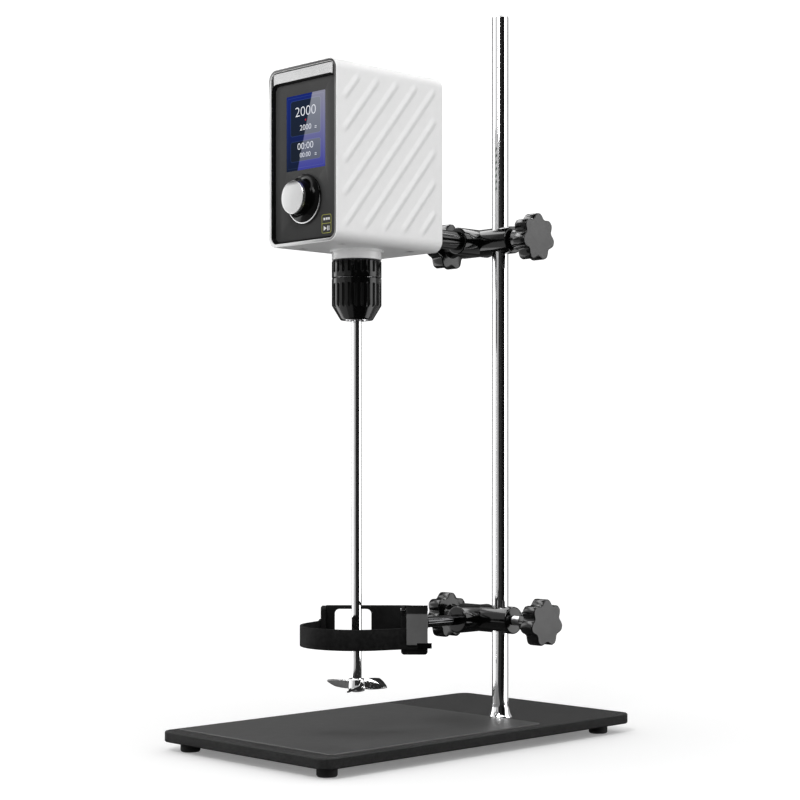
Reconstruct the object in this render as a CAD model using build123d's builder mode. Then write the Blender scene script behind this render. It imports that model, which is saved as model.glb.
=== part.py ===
from build123d import *
import math
import os

# Overhead stirrer on a plate stand, with a strap clamp for the vessel.
# Millimetres. +Z is up, the front of the stirrer faces -Y and +X is to its right.
# The origin is on the bench, under the middle of the base plate.

os.makedirs("parts", exist_ok=True)

# ---------------------------------------------------------------- driving sizes
# Stand
plate_width = 200.0
plate_depth = 354.4
plate_thickness = 8.5
plate_corner_radius = 10.0
plate_edge = 0.8
mat_width = 184.0
mat_front = -165.0
mat_back = 68.5
mat_thickness = 1.2
mat_corner_radius = 4.0
foot_radius = 8.0
foot_height = 8.0
foot_x = 82.0
foot_front_y = -160.0
foot_back_y = 153.0
foot_screw_radius = 2.0
foot_screw_head_radius = 3.8
foot_screw_head_height = 2.6
foot_screw_reach = 6.0
foot_screw_sink = 1.4
foot_edge = 0.8
foot_recess_clearance = 0.4
foot_socket_radius = 1.5
foot_socket_depth = 1.6
column_x = 36.0
column_y = 79.0
column_radius = 7.0
column_length = 594.0
column_chamfer = 1.0
column_bolt_radius = 4.0
column_bolt_head_radius = 6.5
column_bolt_head_height = 5.0
column_bolt_reach = 18.0
column_bolt_sink = 0.2
column_bolt_clearance = 0.3
column_bolt_socket = 3.4
collar_radius = 10.2
collar_height = 11.5
collar_lip = 0.4
collar_waist = 0.9
collar_waist_height = 4.4

# Cross clamps
head_clamp_z = 420.0
vessel_clamp_z = 99.0
rod_x = 12.0
head_rod_radius = 8.0
vessel_rod_radius = 4.5
barrel_radius = 11.5
barrel_left = -8.0
barrel_right = 52.0
barrel_front = 50.0
barrel_edge = 1.2
clamp_screw_radius = 4.0
pad_thickness = 3.0
pad_radius = 3.6
running_clearance = 0.05
contact_clearance = 0.02
knob_radius = 19.75
knob_thickness = 13.0
knob_lobes = 7
knob_valley_radius = 5.0
knob_valley_depth = 3.75
knob_lobe_fillet = 2.6
knob_edge = 1.0
knob_hub_radius = 9.0
knob_hub_length = 12.0
knob_screw_depth = 9.0
stud_edge = 0.5
head_column_knob_gap = 3.0
head_rod_knob_gap = 0.8
vessel_column_knob_gap = 12.0
vessel_rod_knob_gap = 0.8

# Stirrer head
head_x = 12.0
head_width = 82.5
head_front = -123.5
head_back = -7.0
head_bottom = 402.5
head_top = 543.7
head_corner_radius = 9.0
shell_wall = 2.6
shell_edge = 0.9
rear_cover_thickness = 2.4
rib_count = 9
rib_pitch = 26.0
rib_angle = 50.0
rib_width = 5.0
rib_height = 0.9
rib_margin = 9.0
rib_slope = 60.0
panel_width = 71.8
panel_height = 124.0
panel_centre_z = 469.0
panel_thickness = 1.6
panel_recess = 4.0
panel_corner_radius = 5.0
bezel_taper = 18.0
board_thickness = 1.6
screen_width = 45.6
screen_height = 59.2
screen_centre_z = 491.4
screen_thickness = 2.5
head_rod_tail = 93.0
rod_thread_radius = 5.0
rod_nut_radius = 9.2
rod_nut_height = 8.0
rod_thread_overhang = 2.0
rod_edge = 1.0
shell_screw_x = 23.0
shell_screw_y = 37.0
shell_screw_radius = 2.0
shell_screw_head_radius = 3.6
shell_screw_head_height = 1.6
shell_screw_recess = 1.8
rear_screw_inset = 7.8
rear_screw_radius = 1.7
rear_screw_head_radius = 3.0
rear_screw_head_height = 1.8
rear_screw_reach = 8.0
rear_boss_radius = 4.6
rear_boss_length = 12.0
screw_edge = 0.6
shell_screw_clearance = 0.2
shell_recess_clearance = 0.3
shell_screw_socket_radius = 1.4
shell_screw_socket_depth = 1.1

# Back of the head and boards
vent_drop = 38.0
vent_count = 7
vent_pitch = 6.0
vent_width = 44.0
vent_height = 2.6
inlet_offset = 24.0
inlet_rise = 4.0
inlet_width = 12.0
inlet_height = 14.0
inlet_corner_radius = 2.0
inlet_lip = 1.5
inlet_depth = 12.0
inlet_clearance = 0.5
socket_radius = 4.0
socket_pin_radius = 1.0
socket_depth = 9.5
display_margin = 3.0
display_corner_radius = 2.0
display_post_inset = 7.0
display_post_radius = 2.5
control_width = 56.0
control_height = 52.0
control_inset = 4.0
spacer_radius = 2.2
component_depth = 14.0
regulator_width = 14.0
regulator_height = 22.0
regulator_offset = 16.0
regulator_rise = 8.0
capacitor_radius = 7.0
capacitor_offset = 14.0
capacitor_rise = 2.0

# Speed knob
speed_knob_z = 438.5
speed_knob_radius = 13.0
speed_skirt_radius = 19.5
speed_ring_height = 1.2
speed_skirt_height = 9.0
skirt_step = 0.9
skirt_bend = 0.62
skirt_draft = 0.5
speed_cap_height = 2.6
speed_knob_gap = 1.3
encoder_shaft_radius = 3.0
encoder_size = 14.0
encoder_depth = 8.0
plunger_thickness = 1.5
plunger_depth = 3.0
plunger_flange = 0.5
plunger_recess = 0.8
skirt_waist = 2.4
skirt_waist_height = 2.0
ring_edge = 0.5
cap_edge = 0.8
push_travel = 1.0

# Drive
spindle_y = -65.0
collar_flange_radius = 21.5
collar_flange_height = 2.0
spindle_collar_radius = 20.0
spindle_collar_bottom = 394.5
spigot_radius = 16.0
bearing_radius = 11.0
bearing_width = 6.8
spindle_radius = 4.0
chassis_thickness = 4.0
chassis_width = 57.0
chassis_upright_height = 66.0
chassis_front_gap = 12.0
chassis_back_gap = 2.0
motor_radius = 29.0
motor_height = 62.0
motor_wall = 2.0
rotor_radius = 18.0
rotor_gap = 1.0
stator_end_gap = 12.0
rotor_low_gap = 5.0
rotor_end_gap = 22.0
bearing_shoulder = 0.6
spindle_collar_edge = 0.6
collar_bore_clearance = 0.4
spindle_step = 1.0
spindle_tail = 4.0

# Keyless chuck
chuck_top = 394.0
chuck_bottom = 346.0
chuck_radius = 20.0
chuck_ring_bottom = 380.0
chuck_split = 0.4
chuck_taper_top = 358.0
chuck_nose_radius = 13.2
chuck_flutes = 24
chuck_flute_radius = 1.1
jaw_angle = 13.0
jaw_radius = 3.0
jaw_tip_offset = 4.6
jaw_top = 371.0
jaw_count = 3
jaw_tip_height = 0.6
nut_bottom = 361.0
nut_top = 370.0
nut_radius = 16.4
nose_radius = 9.6
neck_radius = 10.8
chuck_flange_radius = 16.4
chuck_core_radius = 15.0
sleeve_clearance = 0.4
chuck_thread_radius = 5.0
chuck_ring_edge = 1.0
body_bore_clearance = 1.2
nose_wall = 1.0
nose_clearance = 0.6
nut_gap_below = 0.5
nut_gap_above = 0.3
jaw_cut = 8.0
flute_overhang = 0.2
ring_flute_start = 4.5
sleeve_flute_stop = 4.0
sleeve_set_up = 0.4

# Stirring shaft and impeller
shaft_radius = 4.0
shaft_top = 367.0
shaft_bottom = 48.0
impeller_radius = 25.0
impeller_hub_radius = 6.5
impeller_hub_height = 10.0
impeller_raise = 0.6
impeller_edge = 0.6
shaft_edge = 0.6
blade_count = 3
blade_thickness = 1.4
blade_root_chord = 9.0
blade_tip_chord = 15.0
blade_root_pitch = 48.0
blade_tip_pitch = 24.0
blade_root_sink = 1.5
blade_swell = 2.0
blade_overhang = 1.0
blade_bearing = -45.0

# Strap clamp
vessel_radius = 43.5
bracket_clearance = 0.5
bracket_thickness = 3.0
bracket_height = 30.0
bracket_reach = 27.0
bracket_bend = 6.0
window_near = -10.5
window_far = 19.8
window_height = 24.0
window_corner_radius = 4.0
boss_radius = 8.0
boss_reach = 12.0
boss_floor = 1.0
vessel_rod_tail = 93.0
strap_thickness = 2.2
strap_height = 16.6
strap_tail_gap = 1.0
strap_centre_z = 93.5
frame_near = 36.0
frame_far = 57.0
frame_thickness = 4.0
frame_bottom = 81.0
frame_top = 113.0
lever_thickness = 1.8
lever_near = 40.4
lever_bottom = 89.0
lever_lip_rise = 1.5
lever_lip_flare = 3.0
lever_lip_drop = 2.4
lever_barrel_radius = 3.2
lever_pin_radius = 1.2
lever_set_back = 0.8
lever_gap = 0.5
lever_lip_near = 48.6
lever_lip_overhang = 3.2
pin_overhang = 0.3
ear_width = 3.0
ear_clearance = 0.3
frame_corner_radius = 2.5
rivet_out = 49.0
rivet_spacing = 9.0
rivet_head_height = 1.2
rivet_head_taper = 25.0
rivet_radius = 1.6
rivet_head_radius = 3.0

# ---------------------------------------------------------------- worked-out places
plate_top = foot_height + plate_thickness
head_height = head_top - head_bottom
head_middle_z = (head_top + head_bottom) / 2
cover_front = head_back - rear_cover_thickness
shell_floor = head_bottom + shell_wall
panel_face = head_front + panel_recess
panel_back = panel_face + panel_thickness
chassis_top = shell_floor + chassis_thickness
barrel_length = barrel_right - barrel_left
barrel_back = column_y + barrel_radius
spindle_x = head_x
inlet_x = head_x - inlet_offset
inlet_z = head_clamp_z + inlet_rise
chassis_back = cover_front - chassis_back_gap
chassis_front = panel_back + chassis_front_gap
upright_front = chassis_back - chassis_thickness


def export_piece(piece, name):
    """Label one finished piece and write its STEP file."""
    piece.label = name
    export_step(piece, f"parts/{name}.step")


# ================================================================ stand
foot_places = [(x, y) for x in (-foot_x, foot_x) for y in (foot_front_y, foot_back_y)]

with BuildPart() as base_plate:
    with BuildSketch(Plane.XY.offset(foot_height)):
        RectangleRounded(plate_width, plate_depth, plate_corner_radius)
    extrude(amount=plate_thickness)
    chamfer(base_plate.faces().sort_by(Axis.Z)[-1].edges(), plate_edge)
    chamfer(base_plate.faces().sort_by(Axis.Z)[0].edges(), plate_edge)
    with Locations(Plane((column_x, column_y, foot_height), z_dir=(0, 0, -1))):
        CounterBoreHole(
            column_bolt_radius,
            column_bolt_head_radius + column_bolt_clearance,
            column_bolt_head_height + column_bolt_sink,
        )
    with Locations(*[Plane((x, y, foot_height), z_dir=(0, 0, -1)) for x, y in foot_places]):
        Hole(foot_screw_radius, depth=foot_screw_reach)
base_plate.part.label = "base_plate"
export_step(base_plate.part, "parts/base_plate.step")

with BuildPart() as worktop_mat:
    with BuildSketch(Plane.XY.offset(plate_top)):
        with Locations((0, (mat_front + mat_back) / 2)):
            RectangleRounded(mat_width, mat_back - mat_front, mat_corner_radius)
    extrude(amount=mat_thickness)
    chamfer(worktop_mat.faces().sort_by(Axis.Z)[-1].edges(), mat_thickness / 3)
worktop_mat.part.label = "worktop_mat"
export_step(worktop_mat.part, "parts/worktop_mat.step")

with BuildPart() as rubber_feet:
    with BuildSketch():
        with Locations(*foot_places):
            Circle(foot_radius)
    extrude(amount=foot_height)
    chamfer(rubber_feet.faces().group_by(Axis.Z)[0].edges(), foot_edge)
    with BuildSketch():
        with Locations(*foot_places):
            Circle(foot_screw_head_radius + foot_recess_clearance)
    extrude(amount=foot_screw_sink + foot_screw_head_height, mode=Mode.SUBTRACT)
    with BuildSketch():
        with Locations(*foot_places):
            Circle(foot_screw_radius)
    extrude(amount=foot_height, mode=Mode.SUBTRACT)
rubber_feet.part.label = "rubber_feet"
export_step(rubber_feet.part, "parts/rubber_feet.step")

with BuildPart() as foot_screws:
    with BuildSketch(Plane.XY.offset(foot_screw_sink)):
        with Locations(*foot_places):
            Circle(foot_screw_head_radius)
    extrude(amount=foot_screw_head_height)
    with BuildSketch(Plane.XY.offset(foot_screw_sink + foot_screw_head_height)):
        with Locations(*foot_places):
            Circle(foot_screw_radius)
    extrude(amount=foot_height - foot_screw_sink - foot_screw_head_height + foot_screw_reach)
    with BuildSketch(Plane.XY.offset(foot_screw_sink)):
        with Locations(*foot_places):
            RegularPolygon(foot_socket_radius, 6)
    extrude(amount=foot_socket_depth, mode=Mode.SUBTRACT)
foot_screws.part.label = "foot_screws"
export_step(foot_screws.part, "parts/foot_screws.step")

with BuildPart() as column:
    with BuildSketch(Plane.XY.offset(plate_top)):
        with Locations((column_x, column_y)):
            Circle(column_radius)
    extrude(amount=column_length)
    chamfer(column.faces().sort_by(Axis.Z)[-1].edges(), column_chamfer)
    with BuildSketch(Plane.XY.offset(plate_top)):
        with Locations((column_x, column_y)):
            Circle(column_bolt_radius)
    extrude(amount=column_bolt_reach, mode=Mode.SUBTRACT)
column.part.label = "column"
export_step(column.part, "parts/column.step")

with BuildPart() as column_bolt:
    with BuildSketch(Plane.XY.offset(foot_height + column_bolt_sink)):
        with Locations((column_x, column_y)):
            Circle(column_bolt_head_radius)
    extrude(amount=column_bolt_head_height)
    with BuildSketch(Plane.XY.offset(foot_height + column_bolt_sink + column_bolt_head_height)):
        with Locations((column_x, column_y)):
            Circle(column_bolt_radius)
    extrude(amount=plate_thickness - column_bolt_head_height - column_bolt_sink + column_bolt_reach)
    with BuildSketch(Plane.XY.offset(foot_height + column_bolt_sink)):
        with Locations((column_x, column_y)):
            RegularPolygon(column_bolt_socket, 6)
    extrude(amount=column_bolt_socket, mode=Mode.SUBTRACT)
column_bolt.part.label = "column_bolt"
export_step(column_bolt.part, "parts/column_bolt.step")

# The flared collar hides the joint of column and plate: a concave curve turned round the column.
with BuildPart() as column_collar:
    with BuildSketch(Plane((column_x, column_y, plate_top), x_dir=(1, 0, 0), z_dir=(0, -1, 0))):
        with BuildLine():
            Line((column_radius, 0), (collar_radius, 0))
            Line((collar_radius, 0), (collar_radius, collar_lip))
            ThreePointArc(
                (collar_radius, collar_lip),
                (column_radius + collar_waist, collar_waist_height),
                (column_radius + collar_lip, collar_height),
            )
            Line((column_radius + collar_lip, collar_height), (column_radius, collar_height))
            Line((column_radius, collar_height), (column_radius, 0))
        make_face()
    revolve(axis=Axis((column_x, column_y, 0), (0, 0, 1)))
column_collar.part.label = "column_collar"
export_step(column_collar.part, "parts/column_collar.step")


# ================================================================ cross clamps
def clamp_body(clamp_z, rod_radius):
    """Cast body: a barrel across the column and a shorter one along the rod, bored for both."""
    with BuildPart() as body:
        with BuildSketch(Plane.YZ.offset(barrel_left)):
            with Locations((column_y, clamp_z)):
                Circle(barrel_radius)
        extrude(amount=barrel_length)
        chamfer(body.edges().filter_by(GeomType.CIRCLE), barrel_edge)
        with BuildSketch(Plane.XZ.offset(-barrel_back)):
            with Locations((rod_x, clamp_z)):
                Circle(barrel_radius)
        extrude(amount=barrel_back - barrel_front)
        with BuildSketch(Plane.XY.offset(clamp_z - 2 * barrel_radius)):
            with Locations((column_x, column_y)):
                Circle(column_radius + running_clearance)
        extrude(amount=4 * barrel_radius, mode=Mode.SUBTRACT)
        with BuildSketch(Plane.XZ.offset(-barrel_back - 1)):
            with Locations((rod_x, clamp_z)):
                Circle(rod_radius + running_clearance)
        extrude(amount=barrel_back - barrel_front + 2, mode=Mode.SUBTRACT)
        with BuildSketch(Plane.YZ.offset(column_x)):
            with Locations((column_y, clamp_z)):
                Circle(clamp_screw_radius + running_clearance)
        extrude(amount=barrel_right, mode=Mode.SUBTRACT)
        with BuildSketch(Plane.YZ.offset(barrel_left - 1)):
            with Locations((column_y, clamp_z)):
                Circle(clamp_screw_radius + running_clearance)
        extrude(amount=rod_x - barrel_left + 1, mode=Mode.SUBTRACT)
    return body.part


def star_knob(clamp_z, hub_end, way):
    """Seven-lobed grip with its hub, turned about X. `way` is +1 or -1 along X."""
    face = Plane((hub_end, column_y, clamp_z), x_dir=(0, 1, 0), z_dir=(way, 0, 0))
    with BuildPart() as knob:
        with BuildSketch(face.offset(knob_hub_length)) as star:
            Circle(knob_radius)
            with PolarLocations(
                knob_radius + knob_valley_radius - knob_valley_depth, knob_lobes, start_angle=-90
            ):
                Circle(knob_valley_radius, mode=Mode.SUBTRACT)
            fillet(star.vertices(), knob_lobe_fillet)
        extrude(amount=knob_thickness)
        chamfer(knob.faces().filter_by(GeomType.PLANE).edges(), knob_edge)
        with BuildSketch(face):
            Circle(knob_hub_radius)
        extrude(amount=knob_hub_length + knob_edge)
        with BuildSketch(face):
            Circle(clamp_screw_radius)
        extrude(amount=knob_screw_depth, mode=Mode.SUBTRACT)
    return knob.part


def clamp_screw(clamp_z, tip, hub_end, way):
    """Threaded stud from the pad to the bottom of the hole in the knob."""
    with BuildPart() as screw:
        with BuildSketch(Plane((tip, column_y, clamp_z), x_dir=(0, 1, 0), z_dir=(way, 0, 0))):
            Circle(clamp_screw_radius)
        extrude(amount=abs(hub_end - tip) + knob_screw_depth)
        chamfer(screw.edges().filter_by(GeomType.CIRCLE), stud_edge)
    return screw.part


def pressure_pad(clamp_z, tip, way):
    """Brass pad between the screw and the tube that it grips."""
    with BuildPart() as pad:
        with BuildSketch(Plane((tip, column_y, clamp_z), x_dir=(0, 1, 0), z_dir=(way, 0, 0))):
            Circle(pad_radius)
        extrude(amount=pad_thickness)
    return pad.part


clamps = [
    ("head", head_clamp_z, head_rod_radius, head_column_knob_gap, head_rod_knob_gap),
    ("vessel", vessel_clamp_z, vessel_rod_radius, vessel_column_knob_gap, vessel_rod_knob_gap),
]
for side, clamp_z, rod_radius, column_gap, rod_gap in clamps:
    export_piece(clamp_body(clamp_z, rod_radius), f"{side}_clamp")
    grips = [
        ("column", column_x + column_radius, barrel_right + column_gap, 1),
        ("rod", rod_x - rod_radius, barrel_left - rod_gap, -1),
    ]
    for grip, surface, hub_end, way in grips:
        pad_face = surface + way * contact_clearance
        screw_tip = pad_face + way * (pad_thickness + contact_clearance)
        export_piece(pressure_pad(clamp_z, pad_face, way), f"{side}_{grip}_pad")
        export_piece(clamp_screw(clamp_z, screw_tip, hub_end, way), f"{side}_{grip}_screw")
        export_piece(star_knob(clamp_z, hub_end, way), f"{side}_{grip}_knob")


# ================================================================ stirrer head
head_section = Plane.XZ.offset(-cover_front)

with BuildPart() as head_shell:
    with BuildSketch(head_section):
        with Locations((head_x, head_middle_z)):
            RectangleRounded(head_width - 2 * rib_height, head_height, head_corner_radius)
    extrude(amount=cover_front - head_front)
    chamfer(head_shell.faces().sort_by(Axis.Y)[0].edges(), shell_edge)
    with BuildSketch(head_section):
        with Locations((head_x, head_middle_z)):
            RectangleRounded(
                head_width - 2 * rib_height - 2 * shell_wall,
                head_height - 2 * shell_wall,
                head_corner_radius - shell_wall,
            )
    extrude(amount=cover_front - head_front, mode=Mode.SUBTRACT)
    with BuildSketch(Plane.XY.offset(head_bottom)):
        with Locations((spindle_x, spindle_y)):
            Circle(spigot_radius)
            with Locations(*[(sx * shell_screw_x, sy * shell_screw_y) for sx in (-1, 1) for sy in (-1, 1)]):
                Circle(shell_screw_radius + shell_screw_clearance)
    extrude(amount=shell_wall, mode=Mode.SUBTRACT)
    with BuildSketch(Plane.XY.offset(head_bottom)):
        with Locations((spindle_x, spindle_y)):
            with Locations(*[(sx * shell_screw_x, sy * shell_screw_y) for sx in (-1, 1) for sy in (-1, 1)]):
                Circle(shell_screw_head_radius + shell_recess_clearance)
    extrude(amount=shell_screw_recess, mode=Mode.SUBTRACT)
    with BuildSketch(head_section):
        with Locations((head_x, head_middle_z)):
            with GridLocations(head_width - 2 * rear_screw_inset, head_height - 2 * rear_screw_inset, 2, 2):
                Circle(rear_boss_radius)
    extrude(amount=rear_boss_length)
    with BuildSketch(head_section):
        with Locations((head_x, head_middle_z)):
            with GridLocations(head_width - 2 * rear_screw_inset, head_height - 2 * rear_screw_inset, 2, 2):
                Circle(rear_screw_radius)
    extrude(amount=rear_boss_length - 2, mode=Mode.SUBTRACT)
    # Diagonal ribs rise towards the back on both sides, clipped to a margin inside the side's outline.
    side_depth = cover_front - head_front
    side_centre_y = (cover_front + head_front) / 2
    for way in (-1, 1):
        side = Plane(
            (head_x + way * (head_width / 2 - rib_height), side_centre_y, head_middle_z),
            x_dir=(0, 1, 0),
            z_dir=(way, 0, 0),
        )
        clip_width = side_depth - 2 * rib_margin
        clip_height = head_height - 2 * rib_margin
        for index in range(rib_count):
            shift = (index - (rib_count - 1) / 2) * rib_pitch
            # ends of this rib where its line crosses the clipping outline
            slope = math.tan(math.radians(rib_angle))
            low_y = max(-clip_width / 2, shift - clip_height / 2 / slope)
            high_y = min(clip_width / 2, shift + clip_height / 2 / slope)
            if high_y - low_y < 2 * rib_width:
                continue
            middle_y = (low_y + high_y) / 2
            middle_z = (middle_y - shift) * slope
            length = (high_y - low_y) / math.cos(math.radians(rib_angle))
            mirrored = 1 if side.y_dir.Z > 0 else -1
            with BuildSketch(side):
                with Locations(Location((middle_y, mirrored * middle_z, 0), (0, 0, mirrored * rib_angle))):
                    SlotOverall(length, rib_width)
            extrude(amount=rib_height, taper=rib_slope)
head_shell.part.label = "head_shell"
export_step(head_shell.part, "parts/head_shell.step")

with BuildPart() as rear_cover:
    with BuildSketch(head_section):
        with Locations((head_x, head_middle_z)):
            RectangleRounded(head_width - 2 * rib_height, head_height, head_corner_radius)
    extrude(amount=-rear_cover_thickness)
    chamfer(rear_cover.faces().sort_by(Axis.Y)[-1].edges(), shell_edge)
    with BuildSketch(head_section):
        with Locations((rod_x, head_clamp_z)):
            Circle(head_rod_radius)
        with Locations((head_x, head_top - vent_drop)):
            with GridLocations(0, vent_pitch, 1, vent_count):
                SlotOverall(vent_width, vent_height)
        with Locations((inlet_x, inlet_z)):
            RectangleRounded(inlet_width, inlet_height, inlet_corner_radius)
        with Locations((head_x, head_middle_z)):
            with GridLocations(
                head_width - 2 * rear_screw_inset, head_height - 2 * rear_screw_inset, 2, 2
            ):
                Circle(rear_screw_radius)
    extrude(amount=-rear_cover_thickness, mode=Mode.SUBTRACT)
rear_cover.part.label = "rear_cover"
export_step(rear_cover.part, "parts/rear_cover.step")

with BuildPart() as front_bezel:
    with BuildSketch(Plane.XZ.offset(-panel_back)):
        with Locations((head_x, head_middle_z)):
            RectangleRounded(
                head_width - 2 * rib_height - 2 * shell_wall,
                head_height - 2 * shell_wall,
                head_corner_radius - shell_wall,
            )
    extrude(amount=panel_back - head_front - shell_edge)
    with BuildSketch(Plane.XZ.offset(-panel_back)):
        with Locations((head_x, panel_centre_z)):
            RectangleRounded(panel_width, panel_height, panel_corner_radius)
    extrude(amount=panel_thickness, mode=Mode.SUBTRACT)
    with BuildSketch(Plane.XZ.offset(-panel_face)):
        with Locations((head_x, panel_centre_z)):
            RectangleRounded(panel_width, panel_height, panel_corner_radius)
    extrude(amount=panel_recess, taper=-bezel_taper, mode=Mode.SUBTRACT)
front_bezel.part.label = "front_bezel"
export_step(front_bezel.part, "parts/front_bezel.step")

with BuildPart() as front_panel:
    with BuildSketch(Plane.XZ.offset(-panel_back)):
        with Locations((head_x, panel_centre_z)):
            RectangleRounded(panel_width, panel_height, panel_corner_radius)
        with Locations((head_x, screen_centre_z)):
            Rectangle(screen_width, screen_height, mode=Mode.SUBTRACT)
        with Locations((head_x, speed_knob_z)):
            Circle(encoder_shaft_radius + plunger_flange, mode=Mode.SUBTRACT)
    extrude(amount=panel_thickness)
front_panel.part.label = "front_panel"
export_step(front_panel.part, "parts/front_panel.step")

with BuildPart() as screen:
    with BuildSketch(Plane.XZ.offset(-panel_back - screen_thickness + panel_thickness)):
        with Locations((head_x, screen_centre_z)):
            Rectangle(screen_width, screen_height)
    extrude(amount=screen_thickness)
screen.part.label = "screen"
export_step(screen.part, "parts/screen.step")

board_front = panel_face + screen_thickness
with BuildPart() as display_board:
    with BuildSketch(Plane.XZ.offset(-board_front - board_thickness)):
        with Locations((head_x, panel_centre_z)):
            RectangleRounded(
                panel_width - 2 * display_margin, panel_height - 2 * display_margin, display_corner_radius
            )
        with Locations((head_x, speed_knob_z)):
            Rectangle(encoder_size, encoder_size, mode=Mode.SUBTRACT)
    extrude(amount=board_thickness)
    with BuildSketch(Plane.XZ.offset(-board_front)):
        with Locations((head_x, panel_centre_z)):
            with GridLocations(
                panel_width - 2 * display_post_inset, panel_height - 2 * display_post_inset, 2, 2
            ):
                Circle(display_post_radius)
    extrude(amount=board_front - panel_back)
display_board.part.label = "display_board"
export_step(display_board.part, "parts/display_board.step")

# ================================================================ speed knob
knob_base_y = panel_face - speed_knob_gap
plunger_front = panel_back + plunger_depth

with BuildPart() as knob_encoder:
    with BuildSketch(Plane.XZ.offset(-panel_back - encoder_depth)):
        with Locations((head_x, speed_knob_z)):
            Rectangle(encoder_size, encoder_size)
    extrude(amount=encoder_depth)
    with BuildSketch(Plane.XZ.offset(-plunger_front - plunger_thickness - push_travel - running_clearance)):
        with Locations((head_x, speed_knob_z)):
            Circle(encoder_shaft_radius + plunger_recess)
    extrude(amount=plunger_thickness + push_travel + running_clearance, mode=Mode.SUBTRACT)
    with BuildSketch(Plane.XZ.offset(-plunger_front)):
        with Locations((head_x, speed_knob_z)):
            Circle(encoder_shaft_radius + running_clearance)
    extrude(amount=encoder_depth, mode=Mode.SUBTRACT)
knob_encoder.part.label = "knob_encoder"
export_step(knob_encoder.part, "parts/knob_encoder.step")

with BuildPart() as knob_plunger:
    with BuildSketch(Plane.XZ.offset(-plunger_front - plunger_thickness)):
        with Locations((head_x, speed_knob_z)):
            Circle(encoder_shaft_radius + plunger_flange)
    extrude(amount=plunger_thickness - running_clearance)
knob_plunger.part.label = "knob_plunger"
export_step(knob_plunger.part, "parts/knob_plunger.step")

with BuildPart() as encoder_shaft:
    with BuildSketch(Plane.XZ.offset(-plunger_front)):
        with Locations((head_x, speed_knob_z)):
            Circle(encoder_shaft_radius)
    extrude(amount=plunger_front - knob_base_y + speed_ring_height + speed_skirt_height)
encoder_shaft.part.label = "encoder_shaft"
export_step(encoder_shaft.part, "parts/encoder_shaft.step")

with BuildPart() as knob_ring:
    with BuildSketch(Plane.XZ.offset(-knob_base_y)):
        with Locations((head_x, speed_knob_z)):
            Circle(speed_skirt_radius)
            Circle(encoder_shaft_radius, mode=Mode.SUBTRACT)
    extrude(amount=speed_ring_height)
    chamfer(knob_ring.faces().sort_by(Axis.Y)[0].edges().sort_by(SortBy.LENGTH)[-1], ring_edge)
knob_ring.part.label = "knob_ring"
export_step(knob_ring.part, "parts/knob_ring.step")

with BuildPart() as knob_skirt:
    skirt_origin = (head_x, knob_base_y - speed_ring_height, speed_knob_z)
    with BuildSketch(Plane(skirt_origin, x_dir=(0, 1, 0), z_dir=(1, 0, 0))):
        with BuildLine():
            Line((0, encoder_shaft_radius), (0, speed_skirt_radius - skirt_step))
            ThreePointArc(
                (0, speed_skirt_radius - skirt_step),
                (-skirt_waist_height, speed_knob_radius + skirt_waist),
                (-skirt_bend * speed_skirt_height, speed_knob_radius + skirt_draft),
            )
            Line(
                (-skirt_bend * speed_skirt_height, speed_knob_radius + skirt_draft),
                (-speed_skirt_height, speed_knob_radius),
            )
            Line((-speed_skirt_height, speed_knob_radius), (-speed_skirt_height, encoder_shaft_radius))
            Line((-speed_skirt_height, encoder_shaft_radius), (0, encoder_shaft_radius))
        make_face()
    revolve(axis=Axis((head_x, 0, speed_knob_z), (0, 1, 0)))
knob_skirt.part.label = "knob_skirt"
export_step(knob_skirt.part, "parts/knob_skirt.step")

with BuildPart() as knob_cap:
    with BuildSketch(Plane.XZ.offset(-knob_base_y + speed_ring_height + speed_skirt_height)):
        with Locations((head_x, speed_knob_z)):
            Circle(speed_knob_radius)
    extrude(amount=speed_cap_height)
    chamfer(knob_cap.faces().sort_by(Axis.Y)[0].edges(), cap_edge)
knob_cap.part.label = "knob_cap"
export_step(knob_cap.part, "parts/knob_cap.step")

# ================================================================ back of the head
with BuildPart() as power_inlet:
    with BuildSketch(head_section):
        with Locations((inlet_x, inlet_z)):
            RectangleRounded(inlet_width, inlet_height, inlet_corner_radius)
    extrude(amount=-rear_cover_thickness)
    with BuildSketch(head_section):
        with Locations((inlet_x, inlet_z)):
            Rectangle(inlet_width + 2 * inlet_lip, inlet_height + 2 * inlet_lip)
    extrude(amount=inlet_depth)
    with BuildSketch(Plane.XZ.offset(-head_back)):
        with Locations((inlet_x, inlet_z)):
            Circle(socket_radius)
            Circle(socket_pin_radius, mode=Mode.SUBTRACT)
    extrude(amount=socket_depth, mode=Mode.SUBTRACT)
power_inlet.part.label = "power_inlet"
export_step(power_inlet.part, "parts/power_inlet.step")

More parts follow.
